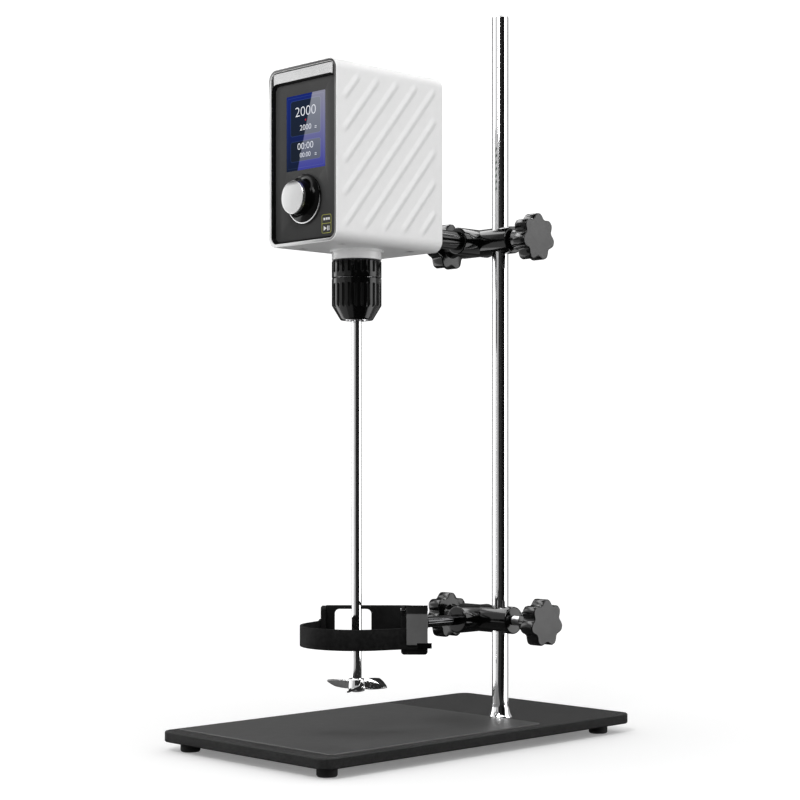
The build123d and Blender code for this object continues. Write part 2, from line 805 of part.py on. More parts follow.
# Four screws hold the rear cover and four more hold the shell to the chassis.
screw_face = head_bottom + shell_screw_recess
with BuildPart() as head_screws:
    with BuildSketch(Plane.XZ.offset(-head_back)):
        with Locations((head_x, head_middle_z)):
            with GridLocations(head_width - 2 * rear_screw_inset, head_height - 2 * rear_screw_inset, 2, 2):
                Circle(rear_screw_head_radius)
    extrude(amount=-rear_screw_head_height)
    chamfer(head_screws.faces().group_by(Axis.Y)[-1].edges(), screw_edge)
    with BuildSketch(Plane.XZ.offset(-head_back)):
        with Locations((head_x, head_middle_z)):
            with GridLocations(head_width - 2 * rear_screw_inset, head_height - 2 * rear_screw_inset, 2, 2):
                Circle(rear_screw_radius)
    extrude(amount=rear_screw_reach)
    with BuildSketch(Plane.XY.offset(screw_face - shell_screw_head_height)):
        with Locations((spindle_x, spindle_y)):
            with Locations(*[(sx * shell_screw_x, sy * shell_screw_y) for sx in (-1, 1) for sy in (-1, 1)]):
                Circle(shell_screw_head_radius)
    extrude(amount=shell_screw_head_height)
    with BuildSketch(Plane.XY.offset(screw_face)):
        with Locations((spindle_x, spindle_y)):
            with Locations(*[(sx * shell_screw_x, sy * shell_screw_y) for sx in (-1, 1) for sy in (-1, 1)]):
                Circle(shell_screw_radius)
    extrude(amount=shell_wall - shell_screw_recess + chassis_thickness)
    with BuildSketch(Plane.XY.offset(screw_face - shell_screw_head_height)):
        with Locations((spindle_x, spindle_y)):
            with Locations(*[(sx * shell_screw_x, sy * shell_screw_y) for sx in (-1, 1) for sy in (-1, 1)]):
                RegularPolygon(shell_screw_socket_radius, 6)
    extrude(amount=shell_screw_socket_depth, mode=Mode.SUBTRACT)
head_screws.part.label = "head_screws"
export_step(head_screws.part, "parts/head_screws.step")

# The rod is clamped to the upright of the chassis by a shoulder and a nut.
with BuildPart() as chassis:
    with BuildSketch(Plane.XY.offset(shell_floor)):
        with Locations((head_x, (chassis_front + chassis_back) / 2)):
            Rectangle(chassis_width, chassis_back - chassis_front)
        with Locations((spindle_x, spindle_y)):
            Circle(spigot_radius, mode=Mode.SUBTRACT)
            with Locations(*[(sx * shell_screw_x, sy * shell_screw_y) for sx in (-1, 1) for sy in (-1, 1)]):
                Circle(shell_screw_radius, mode=Mode.SUBTRACT)
    extrude(amount=chassis_thickness)
    with BuildSketch(Plane.XZ.offset(-chassis_back)):
        with Locations((head_x, shell_floor + chassis_upright_height / 2)):
            Rectangle(chassis_width, chassis_upright_height)
        with Locations((rod_x, head_clamp_z)):
            Circle(rod_thread_radius, mode=Mode.SUBTRACT)
        with Locations((inlet_x, inlet_z)):
            Rectangle(
                inlet_width + 2 * (inlet_lip + inlet_clearance),
                inlet_height + 2 * (inlet_lip + inlet_clearance),
                mode=Mode.SUBTRACT,
            )
    extrude(amount=chassis_thickness)
chassis.part.label = "chassis"
export_step(chassis.part, "parts/chassis.step")

with BuildPart() as head_rod:
    with BuildSketch(Plane.XZ.offset(-head_rod_tail)):
        with Locations((rod_x, head_clamp_z)):
            Circle(head_rod_radius)
    extrude(amount=head_rod_tail - chassis_back)
    chamfer(head_rod.faces().sort_by(Axis.Y)[-1].edges(), rod_edge)
    with BuildSketch(Plane.XZ.offset(-chassis_back)):
        with Locations((rod_x, head_clamp_z)):
            Circle(rod_thread_radius)
    extrude(amount=chassis_thickness + rod_nut_height + rod_thread_overhang)
head_rod.part.label = "head_rod"
export_step(head_rod.part, "parts/head_rod.step")

with BuildPart() as rod_nut:
    with BuildSketch(Plane.XZ.offset(-upright_front)):
        with Locations((rod_x, head_clamp_z)):
            RegularPolygon(rod_nut_radius, 6)
            Circle(rod_thread_radius, mode=Mode.SUBTRACT)
    extrude(amount=rod_nut_height)
rod_nut.part.label = "rod_nut"
export_step(rod_nut.part, "parts/rod_nut.step")

with BuildPart() as control_board:
    with BuildSketch(Plane.XZ.offset(-chassis_back)):
        with Locations((head_x, head_top - vent_drop)):
            Rectangle(control_width, control_height)
    extrude(amount=board_thickness)
    with BuildSketch(Plane.XZ.offset(-chassis_back + board_thickness)):
        with Locations((head_x - regulator_offset, head_top - vent_drop + regulator_rise)):
            Rectangle(regulator_width, regulator_height)
        with Locations((head_x + capacitor_offset, head_top - vent_drop + capacitor_rise)):
            Circle(capacitor_radius)
    extrude(amount=component_depth)
    # spacers reach back to the cover
    with BuildSketch(Plane.XZ.offset(-chassis_back)):
        with Locations((head_x, head_top - vent_drop)):
            with GridLocations(control_width - 2 * control_inset, control_height - 2 * control_inset, 2, 2):
                Circle(spacer_radius)
    extrude(amount=-chassis_back_gap)
control_board.part.label = "control_board"
export_step(control_board.part, "parts/control_board.step")

# ================================================================ drive
spindle_axis = Axis((spindle_x, spindle_y, 0), (0, 0, 1))
half_section = Plane((spindle_x, spindle_y, 0), x_dir=(1, 0, 0), z_dir=(0, -1, 0))
lower_bearing_z = spindle_collar_bottom + bearing_shoulder
upper_bearing_z = chassis_top - bearing_width

with BuildPart() as spindle_collar:
    with BuildSketch(Plane.XY.offset(spindle_collar_bottom)):
        with Locations((spindle_x, spindle_y)):
            Circle(spindle_collar_radius)
    extrude(amount=head_bottom - spindle_collar_bottom)
    chamfer(spindle_collar.faces().sort_by(Axis.Z)[0].edges(), spindle_collar_edge)
    with BuildSketch(Plane.XY.offset(head_bottom - collar_flange_height)):
        with Locations((spindle_x, spindle_y)):
            Circle(collar_flange_radius)
    extrude(amount=collar_flange_height)
    with BuildSketch(Plane.XY.offset(head_bottom)):
        with Locations((spindle_x, spindle_y)):
            Circle(spigot_radius)
    extrude(amount=chassis_top - head_bottom)
    with BuildSketch(Plane.XY.offset(lower_bearing_z)):
        with Locations((spindle_x, spindle_y)):
            Circle(bearing_radius)
    extrude(amount=chassis_top - lower_bearing_z, mode=Mode.SUBTRACT)
    with BuildSketch(Plane.XY.offset(spindle_collar_bottom)):
        with Locations((spindle_x, spindle_y)):
            Circle(chuck_thread_radius + collar_bore_clearance)
    extrude(amount=lower_bearing_z - spindle_collar_bottom, mode=Mode.SUBTRACT)
spindle_collar.part.label = "spindle_collar"
export_step(spindle_collar.part, "parts/spindle_collar.step")

with BuildPart() as bearings:
    for low in (lower_bearing_z, upper_bearing_z):
        with BuildSketch(Plane.XY.offset(low)):
            with Locations((spindle_x, spindle_y)):
                Circle(bearing_radius)
                Circle(spindle_radius + running_clearance, mode=Mode.SUBTRACT)
        extrude(amount=bearing_width)
bearings.part.label = "bearings"
export_step(bearings.part, "parts/bearings.step")

with BuildPart() as motor_can:
    with BuildSketch(Plane.XY.offset(chassis_top)):
        with Locations((spindle_x, spindle_y)):
            Circle(motor_radius)
    extrude(amount=motor_height)
    with BuildSketch(Plane.XY.offset(chassis_top + motor_wall)):
        with Locations((spindle_x, spindle_y)):
            Circle(motor_radius - motor_wall)
    extrude(amount=motor_height - 2 * motor_wall, mode=Mode.SUBTRACT)
    with BuildSketch(Plane.XY.offset(chassis_top)):
        with Locations((spindle_x, spindle_y)):
            Circle(spindle_radius + running_clearance)
    extrude(amount=motor_wall, mode=Mode.SUBTRACT)
motor_can.part.label = "motor_can"
export_step(motor_can.part, "parts/motor_can.step")

with BuildPart() as motor_stator:
    with BuildSketch(Plane.XY.offset(chassis_top + motor_wall)):
        with Locations((spindle_x, spindle_y)):
            Circle(motor_radius - motor_wall)
            Circle(rotor_radius + rotor_gap, mode=Mode.SUBTRACT)
    extrude(amount=motor_height - 2 * motor_wall - stator_end_gap)
motor_stator.part.label = "motor_stator"
export_step(motor_stator.part, "parts/motor_stator.step")

rotor_bottom = chassis_top + motor_wall + rotor_low_gap
rotor_height = motor_height - 2 * motor_wall - rotor_end_gap
with BuildPart() as motor_rotor:
    with BuildSketch(Plane.XY.offset(rotor_bottom)):
        with Locations((spindle_x, spindle_y)):
            Circle(rotor_radius)
            Circle(spindle_radius, mode=Mode.SUBTRACT)
    extrude(amount=rotor_height)
motor_rotor.part.label = "motor_rotor"
export_step(motor_rotor.part, "parts/motor_rotor.step")

with BuildPart() as spindle:
    with BuildSketch(Plane.XY.offset(chuck_ring_bottom)):
        with Locations((spindle_x, spindle_y)):
            Circle(chuck_thread_radius)
    extrude(amount=chuck_top - chuck_ring_bottom + spindle_step)
    with BuildSketch(Plane.XY.offset(chuck_top + spindle_step)):
        with Locations((spindle_x, spindle_y)):
            Circle(spindle_radius)
    extrude(amount=rotor_bottom + rotor_height + spindle_tail - chuck_top - spindle_step)
spindle.part.label = "spindle"
export_step(spindle.part, "parts/spindle.step")

# ================================================================ keyless chuck
# Three jaws slide in bores that lean inwards towards the shaft. The nut inside the sleeve drives them.
jaw_lean = math.radians(jaw_angle)
jaw_reach = jaw_radius / math.cos(jaw_lean)


def jaw_offset(z):
    """Distance of a jaw's axis from the chuck's axis at height z."""
    return jaw_tip_offset + (z - chuck_bottom) * math.tan(jaw_lean)


def jaw_plane(index, z):
    """Plane across a jaw's axis at height z, its normal running up along the jaw."""
    turn = math.radians(360 / jaw_count * index - 90)
    outward = Vector(math.cos(turn), math.sin(turn), 0)
    centre = Vector(spindle_x, spindle_y, z) + outward * jaw_offset(z)
    along = Vector(0, 0, math.cos(jaw_lean)) + outward * math.sin(jaw_lean)
    across = Vector(-math.sin(turn), math.cos(turn), 0)
    return Plane(centre, x_dir=across, z_dir=along)


nose_top = jaw_offset(nut_bottom - nut_gap_below) + jaw_reach + nose_wall

with BuildPart() as chuck_body:
    with BuildSketch(half_section):
        with BuildLine():
            Polyline(
                (shaft_radius + body_bore_clearance, chuck_bottom),
                (nose_radius, chuck_bottom),
                (nose_top, nut_bottom - nut_gap_below),
                (neck_radius, nut_bottom - nut_gap_below),
                (neck_radius, nut_top + nut_gap_above),
                (chuck_flange_radius, nut_top + nut_gap_above),
                (chuck_flange_radius, chuck_ring_bottom),
                (chuck_core_radius, chuck_ring_bottom),
                (chuck_core_radius, chuck_top),
                (chuck_thread_radius, chuck_top),
                (chuck_thread_radius, chuck_ring_bottom),
                (shaft_radius + body_bore_clearance, chuck_ring_bottom),
                close=True,
            )
        make_face()
    revolve(axis=spindle_axis)
    for index in range(jaw_count):
        with BuildSketch(jaw_plane(index, chuck_bottom - jaw_cut / 2)):
            Circle(jaw_radius + running_clearance)
        extrude(amount=(chuck_ring_bottom - chuck_bottom + jaw_cut) / math.cos(jaw_lean), mode=Mode.SUBTRACT)
chuck_body.part.label = "chuck_body"
export_step(chuck_body.part, "parts/chuck_body.step")

with BuildPart() as chuck_nut:
    with BuildSketch(half_section):
        with BuildLine():
            Polyline(
                (jaw_offset(nut_bottom) + jaw_reach + 2 * running_clearance, nut_bottom),
                (nut_radius, nut_bottom),
                (nut_radius, nut_top),
                (jaw_offset(nut_top) + jaw_reach + 2 * running_clearance, nut_top),
                close=True,
            )
        make_face()
    revolve(axis=spindle_axis)
chuck_nut.part.label = "chuck_nut"
export_step(chuck_nut.part, "parts/chuck_nut.step")

for index in range(jaw_count):
    with BuildPart() as jaw:
        with BuildSketch(jaw_plane(index, chuck_bottom - jaw_cut / 2)):
            Circle(jaw_radius)
        extrude(amount=(jaw_top - chuck_bottom + jaw_cut / 2) / math.cos(jaw_lean))
        with BuildSketch(Plane.XY.offset(chuck_bottom - jaw_cut)):
            with Locations((spindle_x, spindle_y)):
                Circle(3 * jaw_radius)
        extrude(amount=jaw_cut - jaw_tip_height, mode=Mode.SUBTRACT)
        with BuildSketch(Plane.XY.offset(chuck_bottom - jaw_cut)):
            with Locations((spindle_x, spindle_y)):
                Circle(shaft_radius + contact_clearance)
        extrude(amount=jaw_top - chuck_bottom + 2 * jaw_cut, mode=Mode.SUBTRACT)
    export_piece(jaw.part, f"chuck_jaw_{index + 1}")

with BuildPart() as chuck_ring:
    with BuildSketch(Plane.XY.offset(chuck_ring_bottom)):
        with Locations((spindle_x, spindle_y)):
            Circle(chuck_radius)
    extrude(amount=chuck_top - chuck_ring_bottom)
    chamfer(chuck_ring.faces().sort_by(Axis.Z)[-1].edges(), chuck_ring_edge)
    with BuildSketch(Plane.XY.offset(chuck_ring_bottom)):
        with Locations((spindle_x, spindle_y)):
            Circle(chuck_core_radius)
    extrude(amount=chuck_top - chuck_ring_bottom, mode=Mode.SUBTRACT)
    with BuildSketch(Plane.XY.offset(chuck_ring_bottom + ring_flute_start)):
        with Locations((spindle_x, spindle_y)):
            with PolarLocations(chuck_radius + flute_overhang, chuck_flutes):
                Circle(chuck_flute_radius)
    extrude(amount=chuck_top - chuck_ring_bottom, mode=Mode.SUBTRACT)
chuck_ring.part.label = "chuck_ring"
export_step(chuck_ring.part, "parts/chuck_ring.step")

with BuildPart() as chuck_sleeve:
    sleeve_top = chuck_ring_bottom - chuck_split
    sleeve_bottom = chuck_bottom + sleeve_set_up
    with BuildSketch(half_section):
        with BuildLine():
            Polyline(
                (nose_radius + nose_clearance, sleeve_bottom),
                (chuck_nose_radius, sleeve_bottom),
                (chuck_radius, chuck_taper_top),
                (chuck_radius, sleeve_top),
                (chuck_flange_radius + sleeve_clearance, sleeve_top),
                (chuck_flange_radius + sleeve_clearance, nut_top + nut_gap_above),
                (nut_radius, nut_top + nut_gap_above),
                (nut_radius, nut_bottom),
                (nose_top + nose_clearance, nut_bottom),
                close=True,
            )
        make_face()
    revolve(axis=spindle_axis)
    with BuildSketch(Plane.XY.offset(sleeve_bottom)):
        with Locations((spindle_x, spindle_y)):
            with PolarLocations(chuck_radius + flute_overhang, chuck_flutes):
                Circle(chuck_flute_radius)
    extrude(amount=sleeve_top - sleeve_bottom - sleeve_flute_stop, mode=Mode.SUBTRACT)
chuck_sleeve.part.label = "chuck_sleeve"
export_step(chuck_sleeve.part, "parts/chuck_sleeve.step")

# ================================================================ stirring shaft and impeller
with BuildPart() as stirring_shaft:
    with BuildSketch(Plane.XY.offset(shaft_bottom)):
        with Locations((spindle_x, spindle_y)):
            Circle(shaft_radius)
    extrude(amount=shaft_top - shaft_bottom)
    chamfer(stirring_shaft.edges().filter_by(GeomType.CIRCLE), shaft_edge)
stirring_shaft.part.label = "stirring_shaft"
export_step(stirring_shaft.part, "parts/stirring_shaft.step")

with BuildPart() as impeller:
    with BuildSketch(Plane.XY.offset(shaft_bottom + impeller_raise)):
        with Locations((spindle_x, spindle_y)):
            Circle(impeller_hub_radius)
    extrude(amount=impeller_hub_height)
    chamfer(impeller.edges().filter_by(GeomType.CIRCLE), impeller_edge)
    for index in range(blade_count):
        turn = math.radians(360 / blade_count * index + blade_bearing)
        outward = Vector(math.cos(turn), math.sin(turn), 0)
        across = Vector(-math.sin(turn), math.cos(turn), 0)
        middle = Vector(spindle_x, spindle_y, shaft_bottom + impeller_raise + impeller_hub_height / 2)
        stations = [
            (impeller_hub_radius - blade_root_sink, blade_root_chord, blade_root_pitch),
            (
                (impeller_hub_radius + impeller_radius) / 2,
                (blade_root_chord + blade_tip_chord) / 2 + blade_swell,
                (blade_root_pitch + blade_tip_pitch) / 2,
            ),
            (impeller_radius + blade_overhang, blade_tip_chord, blade_tip_pitch),
        ]
        for reach, chord, pitch in stations:
            pitched = across * math.cos(math.radians(pitch)) + Vector(0, 0, 1) * math.sin(math.radians(pitch))
            with BuildSketch(Plane(middle + outward * reach, x_dir=pitched, z_dir=outward)):
                Rectangle(chord, blade_thickness)
        loft()
    # round the blade tips to the impeller's circle and bore the hub
    with BuildSketch(Plane.XY.offset(shaft_bottom + impeller_raise - blade_tip_chord)):
        with Locations((spindle_x, spindle_y)):
            Circle(impeller_radius)
            Circle(shaft_radius, mode=Mode.SUBTRACT)
    extrude(amount=impeller_hub_height + 2 * blade_tip_chord, mode=Mode.INTERSECT)
impeller.part.label = "impeller"
export_step(impeller.part, "parts/impeller.step")

# ================================================================ strap clamp
# Both wings stand at 45 degrees, so that they touch a round vessel on the spindle's axis.
vessel_centre = Vector(spindle_x, spindle_y, 0)
wing_inner = vessel_radius + bracket_clearance
wing_outer = wing_inner + bracket_thickness
half_turn = math.sqrt(0.5)
bend_back = spindle_y + wing_inner / half_turn - bracket_bend * (1 / half_turn - 1) + bracket_thickness
boss_back = bend_back + boss_reach
boss_length = boss_reach + boss_floor


def wing_vector(way, out, along):
    """Point in plan: `out` from the vessel's axis across the wing, `along` the wing to its free end."""
    x = way * half_turn * (out + along)
    y = half_turn * (out - along)
    return vessel_centre + Vector(x, y, 0)


def wing_plane(way, out, along, z):
    """Plane whose normal points along the wing to its free end and whose X runs outwards."""
    outward = Vector(way * half_turn, half_turn, 0)
    forward = Vector(way * half_turn, -half_turn, 0)
    centre = wing_vector(way, out, along) + Vector(0, 0, z)
    return Plane(centre, x_dir=outward, z_dir=forward)


def wing_side(way, out):
    """Plane along the wing whose X runs to the free end, with +Z up for the right wing's `way` of 1."""
    inward = Vector(-way * half_turn, -half_turn, 0)
    forward = Vector(way * half_turn, -half_turn, 0)
    return Plane(wing_vector(way, out, 0), x_dir=forward, z_dir=inward)


with BuildPart() as clamp_bracket:
    with BuildSketch(Plane.XY.offset(vessel_clamp_z - bracket_height / 2)) as bend:
        with BuildLine():
            wing_line = Polyline(
                wing_vector(1, wing_inner, bracket_reach),
                vessel_centre + Vector(0, wing_inner / half_turn, 0),
                wing_vector(-1, wing_inner, bracket_reach),
            )
            fillet(wing_line.vertices().sort_by(Axis.Y)[-1], bracket_bend)
            offset(amount=bracket_thickness, side=Side.RIGHT, closed=True, kind=Kind.ARC)
        make_face()
    extrude(amount=bracket_height)
    for way in (-1, 1):
        with BuildSketch(wing_side(way, wing_outer + 1)):
            with Locations(((window_near + window_far) / 2, way * vessel_clamp_z)):
                RectangleRounded(window_far - window_near, window_height, window_corner_radius)
        extrude(amount=bracket_thickness + 2, mode=Mode.SUBTRACT)
    # the rod is pressed into a boss welded on the bend
    with BuildSketch(Plane.XZ.offset(-boss_back)):
        with Locations((rod_x, vessel_clamp_z)):
            Circle(boss_radius)
    extrude(amount=boss_length)
    with BuildSketch(Plane.XZ.offset(-boss_back)):
        with Locations((rod_x, vessel_clamp_z)):
            Circle(vessel_rod_radius)
    extrude(amount=boss_length - boss_floor, mode=Mode.SUBTRACT)
clamp_bracket.part.label = "clamp_bracket"
export_step(clamp_bracket.part, "parts/clamp_bracket.step")

with BuildPart() as vessel_rod:
    with BuildSketch(Plane.XZ.offset(-vessel_rod_tail)):
        with Locations((rod_x, vessel_clamp_z)):
            Circle(vessel_rod_radius)
    extrude(amount=vessel_rod_tail - bend_back - boss_floor)
    chamfer(vessel_rod.faces().sort_by(Axis.Y)[-1].edges(), rod_edge)
vessel_rod.part.label = "vessel_rod"
export_step(vessel_rod.part, "parts/vessel_rod.step")

# Frames close both wings. The strap lies on their front faces: riveted on the left, under the lever on the right.
frame_front_along = bracket_reach + frame_thickness
frame_middle_z = (frame_bottom + frame_top) / 2
frame_middle = (frame_near + frame_far) / 2
frame_width = frame_far - frame_near
rivet_places = [(-rivet_spacing / 2, 0), (rivet_spacing / 2, 0)]
hinge_along = frame_front_along - lever_set_back
hinge_z = frame_top + lever_barrel_radius + sleeve_clearance
rivet_plane = wing_plane(-1, rivet_out, bracket_reach, strap_centre_z)

with BuildPart() as strap_frames:
    for way in (-1, 1):
        with BuildSketch(wing_plane(way, frame_middle, bracket_reach, frame_middle_z)):
            RectangleRounded(frame_width, frame_top - frame_bottom, frame_corner_radius)
        extrude(amount=frame_thickness)
    # two ears stand up beside the lever's barrel and carry its pin
    for ear_outer in (frame_near + ear_width, frame_far):
        with BuildSketch(wing_side(1, ear_outer)):
            with Locations((hinge_along, hinge_z)):
                Circle(lever_barrel_radius)
            with Locations((hinge_along, hinge_z)):
                Rectangle(
                    2 * (frame_front_along - hinge_along),
                    hinge_z - frame_top + frame_corner_radius,
                    align=(Align.CENTER, Align.MAX),
                )
        extrude(amount=ear_width)
    with BuildSketch(wing_side(1, frame_far)):
        with Locations((hinge_along, hinge_z)):
            Circle(lever_pin_radius)
    extrude(amount=frame_width, mode=Mode.SUBTRACT)
    with BuildSketch(rivet_plane):
        with Locations(*rivet_places):
            Circle(rivet_radius)
    extrude(amount=frame_thickness, mode=Mode.SUBTRACT)
strap_frames.part.label = "strap_frames"
export_step(strap_frames.part, "parts/strap_frames.step")

# One pin for the lever and two rivets for the fixed end of the strap.
with BuildPart() as clamp_pins:
    with BuildSketch(wing_side(1, frame_far + pin_overhang)):
        with Locations((hinge_along, hinge_z)):
            Circle(lever_pin_radius)
    extrude(amount=frame_width + 2 * pin_overhang)
    with BuildSketch(rivet_plane):
        with Locations(*rivet_places):
            Circle(rivet_radius)
    extrude(amount=frame_thickness + strap_thickness)
    with BuildSketch(rivet_plane.offset(frame_thickness + strap_thickness)):
        with Locations(*rivet_places):
            Circle(rivet_head_radius)
    extrude(amount=rivet_head_height, taper=rivet_head_taper)
clamp_pins.part.label = "clamp_pins"
export_step(clamp_pins.part, "parts/clamp_pins.step")

# The strap leaves the vessel's circle on a tangent to the inner corner of each frame.
corner_distance = math.hypot(frame_near, frame_front_along)
corner_bearing = math.degrees(math.atan2(frame_front_along, frame_near))
leave_bearing = corner_bearing + math.degrees(math.acos(vessel_radius / corner_distance))
strap_turn = 45.0 - leave_bearing
strap_start = vessel_centre + Vector(
    vessel_radius * math.cos(math.radians(strap_turn)), vessel_radius * math.sin(math.radians(strap_turn)), 0
)
strap_corner = wing_vector(1, frame_near, frame_front_along)
strap_front = vessel_centre - Vector(0, vessel_radius, 0)
strap_end = wing_vector(1, frame_far - strap_tail_gap, frame_front_along)
strap_bottom = strap_centre_z - strap_height / 2


def mirrored_point(point):
    """The same point on the other side of the vessel's axis."""
    return Vector(2 * spindle_x - point.X, point.Y, 0)


with BuildPart() as strap:
    with BuildSketch(Plane.XY.offset(strap_bottom)):
        with BuildLine():
            inner_line = Wire(
                [
                    Line(strap_end, strap_corner),
                    Line(strap_corner, strap_start),
                    ThreePointArc(strap_start, strap_front, mirrored_point(strap_start)),
                    Line(mirrored_point(strap_start), mirrored_point(strap_corner)),
                    Line(mirrored_point(strap_corner), mirrored_point(strap_end)),
                ]
            )
            offset(amount=strap_thickness, side=Side.LEFT, closed=True, kind=Kind.ARC)
        make_face()
    extrude(amount=strap_height)
    with BuildSketch(rivet_plane.offset(frame_thickness)):
        with Locations(*rivet_places):
            Circle(rivet_radius)
    extrude(amount=strap_thickness, mode=Mode.SUBTRACT)
strap.part.label = "strap"
export_step(strap.part, "parts/strap.step")

# The lever's barrel turns on the pin. Its plate hangs in front of the strap and ends in a flared lip.
lever_back = frame_front_along + strap_thickness + lever_gap
lever_front = lever_back + lever_thickness
lever_top = hinge_z + lever_barrel_radius
lever_far = frame_far - ear_width - ear_clearance
with BuildPart() as buckle_lever:
    # plate
    with BuildSketch(wing_side(1, frame_far)):
        with Locations(((lever_back + lever_front) / 2, (lever_bottom + lever_top) / 2)):
            Rectangle(lever_thickness, lever_top - lever_bottom)
    extrude(amount=frame_far - lever_near)
    # barrel between the ears, joined to the plate by a flat arm
    with BuildSketch(wing_side(1, lever_far)):
        with Locations((hinge_along, hinge_z)):
            Circle(lever_barrel_radius)
        with Locations(((hinge_along + lever_back) / 2, hinge_z)):
            Rectangle(lever_back - hinge_along, 2 * lever_barrel_radius)
    extrude(amount=lever_far - frame_near - ear_width - ear_clearance)
    # finger lip
    with BuildSketch(wing_side(1, frame_far + lever_lip_overhang)):
        with BuildLine():
            Polyline(
                (lever_back, lever_bottom + lever_lip_rise),
                (lever_front, lever_bottom + lever_lip_rise),
                (lever_front + lever_lip_flare, lever_bottom - lever_lip_drop),
                (lever_front + lever_lip_flare - lever_thickness, lever_bottom - lever_lip_drop),
                (lever_back, lever_bottom),
                close=True,
            )
        make_face()
    extrude(amount=frame_far + lever_lip_overhang - lever_lip_near)
    with BuildSketch(wing_side(1, frame_far)):
        with Locations((hinge_along, hinge_z)):
            Circle(lever_pin_radius + running_clearance)
    extrude(amount=frame_width, mode=Mode.SUBTRACT)
buckle_lever.part.label = "buckle_lever"
export_step(buckle_lever.part, "parts/buckle_lever.step")
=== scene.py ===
# %% [markdown]
# # Overhead stirrer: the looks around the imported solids
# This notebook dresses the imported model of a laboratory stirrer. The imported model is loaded
# first and is never moved. Every cell below adds pieces in the same frame, and each piece rides
# on one body of the mechanism, so it follows its joint. Blender counts in metres. The cells
# count in millimetres, as a drawing does, and MM converts.

# %% Load the frame
import math

import bmesh
import bpy
from mathutils import Matrix, Vector


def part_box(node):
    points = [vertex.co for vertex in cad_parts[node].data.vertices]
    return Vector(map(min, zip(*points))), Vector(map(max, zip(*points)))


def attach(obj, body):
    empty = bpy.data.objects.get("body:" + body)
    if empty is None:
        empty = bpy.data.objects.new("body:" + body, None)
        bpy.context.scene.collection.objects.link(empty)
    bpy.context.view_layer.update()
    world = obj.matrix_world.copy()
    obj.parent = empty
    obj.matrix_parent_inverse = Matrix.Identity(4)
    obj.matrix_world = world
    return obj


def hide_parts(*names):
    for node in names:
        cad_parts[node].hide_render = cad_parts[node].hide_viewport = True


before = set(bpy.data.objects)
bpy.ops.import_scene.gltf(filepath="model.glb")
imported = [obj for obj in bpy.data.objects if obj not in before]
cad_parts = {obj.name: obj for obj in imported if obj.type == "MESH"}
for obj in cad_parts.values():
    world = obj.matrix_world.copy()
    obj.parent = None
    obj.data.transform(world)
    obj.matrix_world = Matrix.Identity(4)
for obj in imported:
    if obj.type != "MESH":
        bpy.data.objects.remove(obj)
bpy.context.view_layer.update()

MM = 0.001
scene = bpy.context.scene

# %% [markdown]
# ## Camera
# The stirrer is tall and thin, so leaning edges would be seen at once. A camera could be tilted
# to take in the whole column, but then upright edges run together. This one looks level from
# the front right, with a long lens, and the lens is shifted up a little instead.

# %% Camera
CAMERA_PLACE = (1.08945, -1.06618, 0.23214)
CAMERA_HEADING = 45.745
LENS = 82.35
LENS_SHIFT = 0.0782
camera = bpy.data.objects.new("camera", bpy.data.cameras.new("camera"))
scene.collection.objects.link(camera)
camera.location = CAMERA_PLACE
camera.rotation_euler = (math.radians(90), 0, math.radians(CAMERA_HEADING))
camera.data.sensor_width = 36
camera.data.lens = LENS
camera.data.shift_y = LENS_SHIFT
scene.camera = camera
print("camera at", CAMERA_PLACE)

# %% [markdown]
# ## Shader nodes
# Light and surfaces are nets of small nodes. They could be joined one socket at a time, which
# takes three lines a node. One helper that adds a node with its options, numbers and links
# keeps each net short enough to read. Colours are written as the 8-bit values that a screen
# shows and are turned into light by a second helper.


# %% Node and colour helpers
def add_node(tree, kind, inputs=None, **options):
    """Adds a shader node. Each input gets a number, a colour or another node's output."""
    node = tree.nodes.new("ShaderNode" + kind)
    for option, choice in options.items():
        setattr(node, option, choice)
    for socket, value in (inputs or {}).items():
        if isinstance(value, bpy.types.NodeSocket):
            tree.links.new(value, node.inputs[socket])
        else:
            node.inputs[socket].default_value = value
    return node


def ramp(tree, value, low=0.0, high=1.0, to_low=0.0, to_high=1.0, **options):
    """Maps one range of values to another and holds still past its ends."""
    inputs = {"Value": value, "From Min": low, "From Max": high, "To Min": to_low, "To Max": to_high}
    return add_node(tree, "MapRange", inputs, **options).outputs[0]


def mixed(tree, share, first, second, blend="MIX"):
    """A colour between two others, or their product."""
    inputs = {0: share, 6: first, 7: second}
    return add_node(tree, "Mix", inputs, data_type="RGBA", blend_type=blend).outputs[2]


def light_value(shown):
    """Linear value of an 8-bit value as it shows on a screen."""
    part = shown / 255
    return part / 12.92 if part <= 0.04045 else ((part + 0.055) / 1.055) ** 2.4


def screen_colour(red, green, blue):
    """Linear colour of three 8-bit values."""
    return (light_value(red), light_value(green), light_value(blue), 1)


def grey(shown):
    """Linear colour of an 8-bit grey."""
    return screen_colour(shown, shown, shown)


def seen_rays(tree):
    """1 for rays that come from the camera, a reflection or glass, else 0."""
    rays = add_node(tree, "LightPath")
    seen = rays.outputs["Is Camera Ray"]
    for kind in ("Is Glossy Ray", "Is Transmission Ray"):
        most = add_node(tree, "Math", {0: seen, 1: rays.outputs[kind]}, operation="MAXIMUM")
        seen = most.outputs[0]
    return seen


print("middle grey as light", round(grey(128)[0], 3))

# %% [markdown]
# ## Room
# A white room lights everything at a plain level. Its light is stronger from the sides than
# from above, because the pale top of the head would burn out otherwise. What the camera and
# reflections see is a plain white, which Light Path keeps apart from the light, so the
# background can be white without more light on the object.

